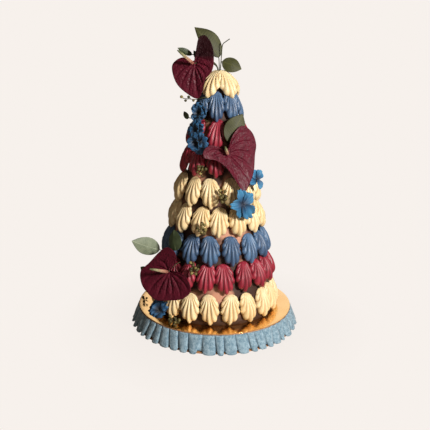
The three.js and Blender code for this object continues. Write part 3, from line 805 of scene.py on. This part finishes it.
def closedCurve(corners, count):  # evenly spaced points on the smooth curve through the corners
    corners = np.array(corners, float)
    before, after, beyond = np.roll(corners, 1, 0), np.roll(corners, -1, 0), np.roll(corners, -2, 0)
    dense = []
    for t in np.linspace(0, 1, 24, endpoint=False):
        a = -0.5 * t + t ** 2 - 0.5 * t ** 3
        b = 1 - 2.5 * t ** 2 + 1.5 * t ** 3
        c = 0.5 * t + 2 * t ** 2 - 1.5 * t ** 3
        d = -0.5 * t ** 2 + 0.5 * t ** 3
        dense.append(a * before + b * corners + c * after + d * beyond)
    dense = np.stack(dense, 1).reshape(-1, 3)
    closed = np.concatenate([dense, dense[:1]])
    run = np.concatenate([[0], np.cumsum(np.linalg.norm(np.diff(closed, axis=0), axis=1))])
    wanted = np.linspace(0, run[-1], count, endpoint=False)
    return np.stack([np.interp(wanted, run, closed[:, k]) for k in range(3)], 1)


# Anthuriums. The outline is given round the spadix's foot as right, up and forward, in mm. The
# veins leave it at so many degrees from the tip.
spathe = {"stations": 200, "rings": 40, "thickness": 1.6, "blister": 6, "puff": 1.7, "duskFrom": 7,
          "duskOver": 12, "veins": (24, 50, 80, 112, 146), "crease": 3.2, "creaseWidth": 3,
          "midWidth": 3.4, "dish": 3}
anthuriums = [
    {"name": "top", "at": (-61.6, -22, 621.3), "facing": (-0.25, -0.95, 0.05), "tip": (13, -82),
     "outline": [(1, 7, 0), (-32, 13, -8), (-54, -3, -5), (-51, -28, 1), (-36, -54, 4), (-8, -75, 3),
                 (13, -82, 2), (25, -64, 5), (31, -38, 6), (47, -15, 3), (50, 14, 1), (45, 44, 1),
                 (28, 65, 0), (12, 60, 2), (7, 34, 4)],
     "spadixTo": (-106, -60, 661), "length": 58, "fold": 5, "dusk": 0.92, "crownTurn": -62},
    {"name": "middle", "at": (22, -104, 420), "facing": (0.35, -0.93, 0.1), "tip": (36, -91),
     "outline": [(0, 7, 0), (-22, 18, 0), (-42, 21, -2), (-57, 8, -4), (-54, -8, -2), (-28, -14, 2),
                 (-5, -31, 8), (15, -60, 12), (36, -91, 16), (55, -70, 10), (69, -44, 0), (75, -8, -7),
                 (79, 19, -9), (68, 48, -9), (42, 64, -6), (17, 43, -3)],
     "spadixTo": (14, -132, 449), "length": 30, "fold": 2, "stemAt": (35, 420)},
    {"name": "bottom", "at": (-114, -132, 131), "facing": (-0.45, -0.85, 0.25), "tip": (0, -72),
     "outline": [(6, 5, 0), (17, 27, 1), (11, 48, 0), (-14, 58, -3), (-36, 43, -5), (-60, 12, -4),
                 (-80, -14, -1), (-71, -43, 2), (-50, -61, 4), (-24, -74, 4), (10, -69, 2),
                 (47, -58, 0), (68, -34, 1), (54, -5, 4), (28, 5, 3)],
     "spadixTo": (-158, -158, 148), "length": 52, "fold": 5, "stemAt": (-38, 146)},
]


def makeSpathe(flower):
    outline = closedCurve(flower["outline"], spathe["stations"])
    tipTurn = math.atan2(flower["tip"][1], flower["tip"][0])

    def surface(x, y, share, edge):
        places = np.stack([x, y, np.zeros(len(x))], 1)
        gaps = np.array([noise.voronoi(Vector(p) / spathe["blister"])[0][:2] for p in places])
        rim = np.clip((gaps[:, 1] - gaps[:, 0]) / 0.55, 0, 1)
        puff = spathe["puff"] * rim ** 0.7 * (1 - share ** 8)
        radius = np.hypot(x, y)
        turn = (np.arctan2(y, x) - tipTurn + np.pi) % (2 * np.pi) - np.pi
        bent = 1 - 0.3 * share ** 2
        crease = np.exp(-(turn * radius / spathe["midWidth"]) ** 2) * flower["fold"] * 0.6
        vein = np.exp(-(turn * radius / 1.5) ** 2)
        for degrees in spathe["veins"]:
            off = np.abs(np.abs(turn) - math.radians(degrees) * bent) * radius
            crease = crease + spathe["crease"] * np.exp(-(off / spathe["creaseWidth"]) ** 2)
            vein = np.maximum(vein, 0.3 * np.exp(-(off / 1.4) ** 2))
        settled = np.clip(share / 0.12, 0, 1)
        z = edge * share ** 1.5 - spathe["dish"] * share * (1 - share)
        z = z + (puff - crease * (1 - share ** 3)) * settled
        # The vein mark also pales the edges between the blisters: partly veins, partly painted highlight.
        return z, np.maximum(vein * 0.85, (1 - rim) * 0.8)

    points, faces, stored = blade(outline, spathe["rings"], spathe["thickness"], surface)
    # Painted shade: the top spathe is darkened from a little above the spadix's foot upwards, over its
    # upper lobe, which stands in shade.
    dusk = flower.get("dusk", 0) * np.clip((points[:, 1] - spathe["duskFrom"]) / spathe["duskOver"], 0, 1)
    stored["dusk"] = ("FLOAT", dusk)
    matrix = frameFacing(flower["at"], flower["facing"])
    name = f"spathe_{flower['name']}"
    mesh = makeMesh(name, inTower(points, matrix), faces, stored)
    settle(makeObject(name, mesh, spatheFlesh), "spathe", f"anthurium_spathe_{flower['name']}")
    return matrix @ Vector((0, 0, -spathe["thickness"] / 2))


# Spadices: a tapered core set with grains in a spiral
spadix = {"stand": 3.2, "girth": 3.5, "grain": 0.85, "perMm": 7.5, "rise": 1.5}


def girthAt(share):
    return np.interp(share, [0, 0.02, 0.18, 0.7, 0.93, 1], [1.6, 2.6, 3.7, 3.0, 1.9, 0.05])


def spadixGroup():
    group, tree, size = startGroup("grains on a spadix", {
        "Count": "Int", "Length": "Float", "Girth": "Float", "Grain": "Float", "Seed": "Int",
        "Core": "Object", "Grains": "Collection", "Material": "Material"})
    index = tree.add("GeometryNodeInputIndex")
    share = (index + 0.5) / size["Count"]
    taper = tree.calc("POWER", share, 3.2)
    start = tree.calc("MINIMUM", 0.72 + share * 2.2, 1)
    radius = size["Girth"] * start * (1 - share * 0.18) * tree.calc("SQRT", 1 - taper)
    turn = index * math.radians(137.508)
    place = tree.add("ShaderNodeCombineXYZ", None, {
        "X": radius * tree.calc("COSINE", turn), "Y": radius * tree.calc("SINE", turn),
        "Z": share * size["Length"]})
    points = tree.add("GeometryNodePoints", None, {"Count": size["Count"], "Position": place})
    marked = tree.add("GeometryNodeStoreNamedAttribute", {"data_type": "FLOAT", "domain": "POINT"}, {
        "Geometry": points, "Name": "along", "Value": share})
    small = size["Grain"] * (1.05 - share * 0.35) * randomValue(tree, 0.85, 1.1, size["Seed"])
    scale = tree.add("ShaderNodeCombineXYZ", None, {"X": small, "Y": small, "Z": small})
    grains = pickFrom(tree, marked, size["Grains"], 1, size["Seed"], (0, 0, 0), scale)
    coreGeometry = tree.add("GeometryNodeObjectInfo", None, {"Object": size["Core"]}, "Geometry")
    both = tree.add("GeometryNodeJoinGeometry")
    for part in (coreGeometry, grains):
        tree.feed(both.node.inputs[0], part)
    endGroup(tree, both, size["Material"])
    return group


def unitBall(name, subdivisions):
    mesh = bpy.data.meshes.new(name)
    ball = bmesh.new()
    bmesh.ops.create_icosphere(ball, subdivisions=subdivisions, radius=1)
    ball.to_mesh(mesh)
    ball.free()
    mesh.shade_smooth()
    return mesh


def makeSpadix(flower, group, grains):
    length = flower["length"]
    shares = np.concatenate([np.linspace(0, 0.9, 16), [0.95, 0.985]])
    profile = [(0, 0)] + [(girthAt(s) - 0.35, s * length) for s in shares] + [(0, length)]
    points, faces = lathe(profile, 20)
    stored = {"along": ("FLOAT", points[:, 2] / length)}
    coreObject = makeObject("spadix core", makeMesh("spadix core", points * mm, faces, stored))
    name = f"spadix_{flower['name']}"
    piece = grow(name, group, {
        "Count": int(length * spadix["perMm"]), "Length": length * 0.985 * mm,
        "Girth": spadix["girth"] * mm, "Grain": spadix["grain"] * mm, "Seed": 5, "Core": coreObject,
        "Grains": grains, "Material": spadixFlesh})
    bpy.data.objects.remove(coreObject)
    at, facing = Vector(flower["at"]), Vector(flower["facing"]).normalized()
    axis = (Vector(flower["spadixTo"]) - at).normalized()
    foot = (at + facing * spadix["stand"]) * mm + Vector((0, 0, cardTop))
    turned = axis.to_track_quat("Z", "Y").to_matrix().to_4x4()
    piece.data.transform(Matrix.Translation(foot) @ turned)
    settle(piece, "spadix", f"anthurium_spadix_{flower['name']}")


# Leaves: base, tip, width, which way the face looks and how far the edges bow back. Slim is the
# left half's width against the right half's.
leaf = {"stations": 96, "rings": 20, "thickness": 1.0, "ribPairs": 7, "baseTaper": 1.2, "tipTaper": 2.1,
        "egg": 0.18, "ribSlant": 1.6, "ribWidth": 0.8, "ribDepth": 0.3, "midWidth": 0.9, "midDepth": 0.9,
        "wave": 0.025, "stemInset": 3}
leaves = [
    {"name": "leaf_crown_large", "base": (1, 2, 637), "tip": (-60, 8, 707), "width": 60,
     "facing": (0.15, -0.95, 0.3), "bow": 8, "slim": 0.5, "crownTurn": -182, "finish": oliveLeaf},
    {"name": "leaf_crown_right", "base": (7, -2, 627), "tip": (54, -10, 611), "width": 37,
     "facing": (0.1, -0.9, 0.35), "bow": 4, "crownTurn": 58, "finish": oliveLeaf},
    {"name": "leaf_crown_narrow", "base": (-66, 2, 640), "tip": (-101, -4, 656), "width": 15,
     "facing": (-0.2, -0.95, 0.1), "bow": 2, "crownTurn": -92, "finish": darkLeaf},
    {"name": "leaf_crown_dark", "base": (-46, 8, 626), "tip": (-63, 6, 650), "width": 15,
     "facing": (-0.1, -0.95, 0.1), "bow": 2, "crownTurn": -137, "finish": darkLeaf},
    {"name": "leaf_upper_right", "base": (25, -88, 446), "tip": (60, -66, 510), "width": 50,
     "facing": (0.35, -0.9, 0.35), "bow": 5, "stemAt": (26, 484), "finish": oliveLeaf},
    {"name": "leaf_upper_left", "base": (-74, -34, 490), "tip": (-84, -30, 508), "width": 13,
     "facing": (-0.4, -0.85, 0.2), "bow": 1, "stemAt": (-56, 484), "finish": darkLeaf},
    {"name": "leaf_low_pale", "base": (-140, -62, 161), "tip": (-206, -92, 193), "width": 45,
     "facing": (-0.3, -0.9, 0.3), "bow": 5, "stemAt": (-80, 146), "finish": paleLeaf},
    {"name": "leaf_low_dark", "base": (-100, -118, 181), "tip": (-106, -97, 228), "width": 38,
     "facing": (-0.5, -0.8, 0.2), "bow": 5, "stemAt": (-60, 146), "finish": darkLeaf},
    {"name": "leaf_low_left", "base": (-174, -30, 84), "tip": (-197, -16, 98), "width": 22,
     "facing": (-0.7, -0.7, 0.2), "bow": 2, "stemAt": (-80, 79), "finish": darkLeaf},
]


def makeLeaf(spec):
    base, tip = Vector(spec["base"]), Vector(spec["tip"])
    along = tip - base
    half = along.length / 2
    turns = 2 * np.pi * np.arange(leaf["stations"]) / leaf["stations"]
    taper = leaf["baseTaper"] + (leaf["tipTaper"] - leaf["baseTaper"]) * (1 + np.cos(turns)) / 2
    side = np.sign(np.sin(turns)) * np.abs(np.sin(turns)) ** taper
    side = np.where(side > 0, side * spec.get("slim", 1), side)
    outlineX = -spec["width"] / 2 * side * (1 - leaf["egg"] * np.cos(turns))
    outline = np.stack([outlineX, half * np.cos(turns), np.zeros(len(turns))], 1)

    def surface(x, y, share, edge):
        wide = spec["width"] / 2
        rows = (y / half + 1) * leaf["ribPairs"] - np.abs(x) / wide * leaf["ribSlant"]
        off = np.abs(rows - np.round(rows)) * 2 * half / (2 * leaf["ribPairs"])
        sideVein = np.exp(-(off / leaf["ribWidth"]) ** 2) * (np.abs(x) > 0.5)
        midVein = np.exp(-(x / leaf["midWidth"]) ** 2)
        wave = leaf["wave"] * spec["width"] * np.sin(y / half * 4.5 + np.sign(x)) * share ** 2
        z = -spec["bow"] * share ** 1.3 + wave
        z = z - leaf["midDepth"] * np.exp(-(np.abs(x) / 2.2)) * (1 - share)
        z = z - leaf["ribDepth"] * sideVein * (1 - share ** 3)
        return z, np.maximum(midVein, sideVein * 0.5)

    points, faces, stored = blade(outline, leaf["rings"], leaf["thickness"], surface)
    facing = Vector(spec["facing"])
    facing -= along * (facing.dot(along) / along.length_squared)
    matrix = frameFacing((base + tip) / 2, facing, along)
    name = spec["name"].replace("leaf", "foliage")
    mesh = makeMesh(name, inTower(points, matrix), faces, stored)
    slot = "pale_leaf" if "pale" in name else "leaf"
    settle(makeObject(name, mesh, spec["finish"]), slot, spec["name"])
    return matrix @ Vector((0, leaf["stemInset"] - half, -spec["bow"] - leaf["thickness"] / 2))


# Blooms: whorls of ruffled petals round a throat
blooms = [
    {"name": "bloom_upper_first", "at": (-44, -69, 510), "facing": (-0.5, -0.8, 0.3), "width": 46,
     "stemAt": (-31, 484), "finish": tealPetal, "turn": 0.3},
    {"name": "bloom_upper_second", "at": (-51, -80, 472), "facing": (-0.6, -0.75, 0.1), "width": 44,
     "stemAt": (-57, 420), "finish": tealPetal, "turn": 0.9},
    {"name": "bloom_upper_third", "at": (-48, -90, 443), "facing": (-0.5, -0.85, 0), "width": 52,
     "stemAt": (-21, 420), "finish": tealPetal, "turn": 0.1},
    {"name": "bloom_middle_behind", "at": (97, -71, 354), "facing": (0.75, -0.6, 0.25), "width": 50,
     "stemAt": (52, 355), "finish": brightPetal, "turn": 0.5},
    {"name": "bloom_middle_front", "at": (62, -120, 302), "facing": (0.45, -0.88, 0.15), "width": 72,
     "stemAt": (30, 282), "finish": brightPetal, "turn": 0.2},
    {"name": "bloom_on_card", "at": (-139, -121, 25), "facing": (-0.45, -0.75, 0.5), "width": 50,
     "finish": tealPetal, "turn": 0.7},
]
petal = {"kinds": 3, "rows": 11, "columns": 13, "thickness": 0.5, "foot": 0.04, "spread": 0.58,
         "ruffle": 0.13, "cup": 0.14, "curl": 0.16, "drop": 0.2, "seed": 70}
# Whorls of a single and of a full bloom: petals, their length against the bloom's radius and width
# against their length, how many degrees they open and how far the whorl is turned
whorls = {
    "single": [{"count": 5, "length": 1.2, "wide": 0.6, "open": 4, "turn": 0.0}],
    "full": [{"count": 5, "length": 1.1, "wide": 0.95, "open": 12, "turn": 0.0},
             {"count": 4, "length": 0.9, "wide": 1.0, "open": 42, "turn": 0.6}],
}


def petalMesh(kind):
    rng = np.random.default_rng(petal["seed"] + kind)
    sway = rng.uniform(-1, 1, 4)
    points, along, plane, faces = [], [], [], []
    rows, columns = petal["rows"], petal["columns"]
    for i in range(rows):
        t = i / (rows - 1)
        wide = petal["foot"] + petal["spread"] * math.sin(math.pi * t ** 0.95 * 0.75) ** 0.9
        for j in range(columns):
            v = 2 * j / (columns - 1) - 1
            ruffle = petal["ruffle"] * t ** 2 * math.sin(2.3 * v * math.pi + sway[0] * 3)
            notch = 0.05 * math.cos(2.3 * v * math.pi + sway[1]) * t ** 3 - petal["drop"] * (v * t) ** 2
            crease = 0.05 * math.exp(-(v / 0.15) ** 2) * t
            cup = petal["cup"] * v ** 2 * math.sin(math.pi * t) - crease
            curl = -petal["curl"] * t ** 3 * (1 + 1.2 * sway[2])
            points.append((v * wide + 0.05 * sway[3] * t ** 2, t + notch, ruffle + cup + curl))
            along.append(t)
            plane.append((v * wide * 0.03, t * 0.03, 0))
    for i in range(rows - 1):
        for j in range(columns - 1):
            a = i * columns + j
            faces.append((a, a + 1, a + columns + 1, a + columns))
    stored = {"along": ("FLOAT", along), "plane": ("FLOAT_VECTOR", plane)}
    return makeMesh(f"petal_{kind}", points, faces, stored)


def whorlGroup():
    group, tree, size = startGroup("whorl of petals", {
        "Count": "Int", "Length": "Float", "Width": "Float", "Opening": "Float", "Turn": "Float",
        "Seed": "Int", "Petals": "Collection", "Material": "Material"})
    index = tree.add("GeometryNodeInputIndex")
    seed = size["Seed"]
    angle = size["Turn"] + index * (2 * math.pi) / size["Count"] + randomValue(tree, -0.22, 0.22, seed)
    points = tree.add("GeometryNodePoints", None, {"Count": size["Count"]})
    tilt = size["Opening"] + randomValue(tree, -0.26, 0.3, seed + 1)
    rotation = tree.add("FunctionNodeEulerToRotation", None, {
        0: tree.add("ShaderNodeCombineXYZ", None, {"X": tilt, "Z": angle})})
    big = size["Length"] * randomValue(tree, 0.76, 1.08, seed + 2)
    wide = size["Length"] * size["Width"] * randomValue(tree, 0.8, 1.25, seed + 4)
    scale = tree.add("ShaderNodeCombineXYZ", None, {"X": wide, "Y": big, "Z": big})
    petals = pickFrom(tree, points, size["Petals"], petal["kinds"], seed + 3, rotation, scale)
    endGroup(tree, petals, size["Material"])
    return group


def joinInto(name, objects):
    bpy.ops.object.select_all(action="DESELECT")
    for item in objects:
        item.select_set(True)
    bpy.context.view_layer.objects.active = objects[0]
    if len(objects) > 1:
        bpy.ops.object.join()
    objects[0].name = name
    return objects[0]


def makeBloom(number, spec, group, stock):
    matrix = frameFacing(spec["at"], spec["facing"])
    home = Matrix.Translation((0, 0, cardTop)) @ Matrix.Diagonal((mm, mm, mm, 1)) @ matrix
    parts = []
    for k, whorl in enumerate(whorls["single" if spec["finish"] == brightPetal else "full"]):
        part = grow(f"whorl {k}", group, {
            "Count": whorl["count"], "Length": spec["width"] / 2 * whorl["length"],
            "Width": whorl["wide"], "Opening": math.radians(whorl["open"]),
            "Turn": spec["turn"] + whorl["turn"], "Seed": 10 * number + k, "Petals": stock,
            "Material": spec["finish"]})
        part.data.transform(home)
        parts.append(part)
    piece = joinInto(spec["name"].replace("bloom", "flower"), parts)
    wall = piece.modifiers.new("petal thickness", "SOLIDIFY")
    wall.thickness = petal["thickness"] * mm
    settle(piece, "bloom", spec["name"])
    return matrix @ Vector((0, 0, -0.9))


# Sprigs: seed heads on short stalks along a twig
sprigs = [
    {"name": "sprig_crown_left", "base": (-54, -40, 538), "tip": (-86, -38, 540), "heads": 4,
     "size": 3.5, "stemAt": (-40, 541)},
    {"name": "sprig_centre_upper", "base": (-36, -98, 366), "tip": (-42, -96, 385), "heads": 11,
     "size": 4.0, "stemAt": (-21, 355)},
    {"name": "sprig_centre_middle", "base": (20, -122, 303), "tip": (14, -121, 324), "heads": 13,
     "size": 4.0, "stemAt": (7, 282)},
    {"name": "sprig_centre_lower", "base": (-24, -137, 229), "tip": (-36, -136, 247), "heads": 12,
     "size": 4.0, "stemAt": (-10, 214)},
    {"name": "sprig_low", "base": (-44, -154, 132), "tip": (-56, -151, 151), "heads": 13,
     "size": 4.0, "stemAt": (-20, 144)},
    {"name": "sprig_on_card", "base": (-84, -164, 9), "tip": (-108, -147, 11), "heads": 17, "size": 4.0},
    {"name": "sprig_card_edge", "base": (-176, -24, 5), "tip": (-190, -8, 6), "heads": 5, "size": 3.6},
]


seedHead = {"kinds": 2, "stalk": 1.2, "longer": 1.3, "sides": 8, "twigRadius": 0.8}


def sprayGroup():
    group, tree, size = startGroup("spray of seed heads", {
        "Heads": "Int", "Start": "Vector", "End": "Vector", "Size": "Float", "Seed": "Int",
        "Kinds": "Collection", "Material": "Material"})
    index = tree.add("GeometryNodeInputIndex")
    seed = size["Seed"]
    share = index / (size["Heads"] - 1)
    reach = tree.vector("SUBTRACT", size["End"], size["Start"])
    side = tree.vector("NORMALIZE", tree.vector("CROSS_PRODUCT", (0, 0, 1), reach))
    up = tree.vector("CROSS_PRODUCT", tree.vector("NORMALIZE", reach), side)
    turn = index * math.radians(137.5) + randomValue(tree, -0.4, 0.4, seed)

    def scaled(direction, amount):
        node = tree.vector("SCALE", direction)
        tree.feed(node.node.inputs["Scale"], amount)
        return node

    sideways = scaled(side, tree.calc("COSINE", turn))
    outward = tree.vector("ADD", sideways, scaled(up, tree.calc("SINE", turn)))
    ahead = scaled(tree.vector("NORMALIZE", reach), 0.5 + share)
    direction = tree.vector("NORMALIZE", tree.vector("ADD", outward, ahead))
    place = tree.vector("ADD", size["Start"], scaled(reach, 0.08 + share * 0.8))
    points = tree.add("GeometryNodePoints", None, {"Count": size["Heads"], "Position": place})
    rotation = tree.add("FunctionNodeAlignRotationToVector", {"axis": "Z"}, {"Vector": direction})
    big = size["Size"] * randomValue(tree, 0.7, 1.15, seed + 2)
    scale = tree.add("ShaderNodeCombineXYZ", None, {"X": big, "Y": big, "Z": big})
    heads = pickFrom(tree, points, size["Kinds"], seedHead["kinds"], seed + 3, rotation, scale)
    toned = tree.add("GeometryNodeStoreNamedAttribute", {"data_type": "FLOAT", "domain": "INSTANCE"}, {
        "Geometry": heads, "Name": "tone", "Value": randomValue(tree, 0.0, 1.0, seed + 4)})
    endGroup(tree, toned, size["Material"])
    return group


def seedHeadMesh(kind):  # a berry of radius 1 on a stalk, along +Z from the twig
    stalk = seedHead["stalk"] + seedHead["longer"] * kind
    profile = [(0, 0), (0.16, 0.02), (0.13, stalk * 0.5), (0.2, stalk), (0.75, stalk + 0.2),
               (1.0, stalk + 0.85), (0.9, stalk + 1.4), (0.5, stalk + 1.8), (0.16, stalk + 1.86),
               (0, stalk + 1.7)]
    points, faces = lathe(profile, seedHead["sides"])
    return makeMesh(f"seed_head_{kind}", points, faces)


# Stems and twigs: tubes along their routes
stem = {"radius": 1.1, "rise": 32, "reach": 30, "ring": 3, "sides": 8, "steps": 16}


def onCore(azimuth, height):
    turn = math.radians(azimuth)
    radial = Vector((math.sin(turn), -math.cos(turn), 0))
    outward = radial * math.cos(slope) + Vector((0, 0, math.sin(slope)))
    return radial * coreRadius(height) + Vector((0, 0, height)), outward


def gapNear(azimuth, height):  # between the heads of one row, under the tails of the next
    upper = min(range(1, len(rows)), key=lambda i: abs(rows[i]["tip"] - height))
    lower = rows[upper - 1]
    pitch = 360 / lower["count"]
    turns = math.floor((azimuth - lower["turn"]) / pitch) + 0.5
    return onCore(lower["turn"] + turns * pitch, rows[upper]["tip"] + 1)


def stemRoute(start, spec):
    if "crownTurn" in spec:
        turn = math.radians(spec["crownTurn"])
        foot = Vector((stem["ring"] * math.sin(turn), -stem["ring"] * math.cos(turn), core["top"] + 0.3))
        over = Vector((foot.x, foot.y, core["top"] + stem["rise"]))
    else:
        point, outward = gapNear(*spec["stemAt"])
        foot, over = point + outward * 0.6, point + outward * stem["reach"]
    shares = [k / stem["steps"] for k in range(stem["steps"] + 1)]
    return [start * (1 - t) ** 2 + over * 2 * t * (1 - t) + foot * t * t for t in shares]


def tubeGroup():
    group, tree, size = startGroup("tubes along routes", {
        "Routes": "Object", "Radius": "Float", "Sides": "Int", "Material": "Material"})
    routes = tree.add("GeometryNodeObjectInfo", None, {"Object": size["Routes"]}, "Geometry")
    ring = tree.add("GeometryNodeCurvePrimitiveCircle", None, {
        "Resolution": size["Sides"], "Radius": size["Radius"]})
    tubes = tree.add("GeometryNodeCurveToMesh", None, {
        "Curve": routes, "Profile Curve": ring, "Fill Caps": True})
    endGroup(tree, tubes, size["Material"])
    return group


def makeTubes(name, group, routes, radius, material):
    curve = bpy.data.curves.new(name + " routes", "CURVE")
    curve.dimensions = "3D"
    for route in routes:
        spline = curve.splines.new("POLY")
        spline.points.add(len(route) - 1)
        for point, place in zip(spline.points, route):
            point.co = (*(place * mm + Vector((0, 0, cardTop))), 1)
    line = bpy.data.objects.new(name + " routes", curve)
    scene.collection.objects.link(line)
    piece = grow(name, group, {
        "Routes": line, "Radius": radius * mm, "Sides": stem["sides"], "Material": material})
    bpy.data.objects.remove(line)
    return piece


def smoothRoute(corners, steps=8):
    padded = [corners[0] * 2 - corners[1], *corners, corners[-1] * 2 - corners[-2]]
    route = []
    for a, b, c, d in zip(padded, padded[1:], padded[2:], padded[3:]):
        for t in (k / steps for k in range(steps)):
            route.append(0.5 * (2 * b + (c - a) * t + (2 * a - 5 * b + 4 * c - d) * t * t
                                + (3 * b - a - 3 * c + d) * t ** 3))
    return route + [corners[-1]]


twig = {"route": [(5, 5, 640), (7, 5, 664), (14, 4, 672), (24, 2, 679)], "radius": 1.1, "crownTurn": 118}


def makeAnthuriums():
    grains = makeStock("grains", [unitBall("grain", 1)])
    group = spadixGroup()
    starts = []
    for flower in anthuriums:
        starts.append((makeSpathe(flower), flower))
        makeSpadix(flower, group, grains)
    clearStock(grains)
    print("anthuriums made")
    return starts


def makeLeaves():
    starts = [(makeLeaf(spec), spec) for spec in leaves]
    print("leaves made")
    return starts


def makeBlooms():
    petals = makeStock("petals", [petalMesh(kind) for kind in range(petal["kinds"])])
    group = whorlGroup()
    starts = [(makeBloom(number, spec, group, petals), spec) for number, spec in enumerate(blooms, 1)]
    clearStock(petals)
    print("blooms made")
    return [(start, spec) for start, spec in starts if "stemAt" in spec]


def makeSprigs(tubes):
    heads = makeStock("seed heads", [seedHeadMesh(kind) for kind in range(seedHead["kinds"])])
    group = sprayGroup()
    up = Vector((0, 0, cardTop))
    starts = []
    for number, spec in enumerate(sprigs, 1):
        base, tip = Vector(spec["base"]), Vector(spec["tip"])
        name = spec["name"].replace("sprig", "spray")
        berries = grow(name, group, {
            "Heads": spec["heads"], "Start": base * mm + up, "End": tip * mm + up,
            "Size": spec["size"] * mm, "Seed": 30 * number, "Kinds": heads, "Material": berrySkin})
        stalk = makeTubes(name + "_twig", tubes, [[base, tip]], seedHead["twigRadius"], berrySkin)
        settle(joinInto(name, [berries, stalk]), "berry", spec["name"])
        if "stemAt" in spec:
            starts.append((base, spec))
    clearStock(heads)
    print("sprigs made")
    return starts


def makeStems(tubes, starts):
    routes = [stemRoute(start, spec) for start, spec in starts]
    settle(makeTubes("flower_stems", tubes, routes, stem["radius"], oliveLeaf), "leaf")
    foot = stemRoute(Vector(twig["route"][0]), twig)[-1]
    bends = [foot] + [Vector(p) for p in twig["route"]]
    curled = makeTubes("curled_twig", tubes, [smoothRoute(bends)], twig["radius"], oliveLeaf)
    settle(curled, "leaf", "twig_crown")
    print("stems made")


stemStarts = makeAnthuriums() + makeLeaves() + makeBlooms()
tubes = tubeGroup()
stemStarts += makeSprigs(tubes)
makeStems(tubes, stemStarts)

# Studio: pale paper floor, a small key light from the front right, a weak soft fill and a back light.
# The floor and the world show plain paper to the camera, and give the tower little light themselves.
studio = {"paper": "#f7f1ec", "warmAir": "#f3dcc4", "ambient": 0.1, "bare": 0.06, "near": 0.2,
          "far": 0.42, "floor": 12, "aimHeight": 0.35}
lamps = [
    {"name": "key", "at": (1.65, -2.1, 1.5), "size": 0.5, "power": 114, "tint": (1, 0.97, 0.92)},
    {"name": "fill", "at": (-0.9, -2.4, 1.2), "size": 1.6, "power": 3.4, "tint": (1, 0.92, 0.82)},
    {"name": "back", "at": (0.5, 2.55, 1.5), "size": 2.8, "power": 22, "tint": (1, 0.98, 0.95)},
]


def makeLamp(spec):
    data = bpy.data.lights.new(spec["name"], "AREA")
    data.shape = "DISK"
    data.size, data.energy, data.color = spec["size"], spec["power"], spec["tint"]
    lamp = bpy.data.objects.new(spec["name"], data)
    aim = Vector((0, 0, studio["aimHeight"])) - Vector(spec["at"])
    turned = aim.to_track_quat("-Z", "Y").to_matrix().to_4x4()
    lamp.matrix_world = Matrix.Translation(spec["at"]) @ turned
    scene.collection.objects.link(lamp)


def floorPaint(tree, place):
    cloud = tree.noise(place, 3, 2)
    return {"Base Color": tree.mix(cloud, shade("#85786c"), shade("#94887c"))}


def makeFloor():
    size = studio["floor"]
    corners = [(-size, -size, 0), (size, -size, 0), (size, size, 0), (-size, size, 0)]
    paper = makeFinish("floor_paper", floorPaint, Roughness=0.9)
    tree = Tree(paper.node_tree)
    seen = tree.add("ShaderNodeLightPath", None, None, "Is Camera Ray")
    place = tree.add("ShaderNodeTexCoord", None, None, "Object")
    away = tree.between(tree.vector("LENGTH", place)["Value"], studio["near"], studio["far"])
    glow = tree.add("ShaderNodeEmission", None, {"Color": shade(studio["paper"])})
    lit = Socket(tree, tree.nodes["Principled BSDF"], "BSDF")
    bare = (1 - away) * studio["bare"]
    surface = tree.add("ShaderNodeMixShader", None, {0: seen * (1 - bare), 1: lit, 2: glow})
    tree.feed(tree.nodes["Material Output"].inputs["Surface"], surface)
    makeObject("floor", makeMesh("floor", corners, [(0, 1, 2, 3)]), paper)


def makeWorld():
    world = bpy.data.worlds.new("studio")
    scene.world = world
    world.use_nodes = True
    tree = Tree(world.node_tree)
    seen = tree.add("ShaderNodeLightPath", None, None, "Is Camera Ray")
    background = world.node_tree.nodes["Background"]
    air = tree.mix(seen, shade(studio["warmAir"]), shade(studio["paper"]))
    tree.feed(background.inputs["Color"], air)
    tree.feed(background.inputs["Strength"], seen * (1 - studio["ambient"]) + studio["ambient"])


makeFloor()
for lamp in lamps:
    makeLamp(lamp)
makeWorld()
scene.view_settings.view_transform = "Standard"
print("studio lit")
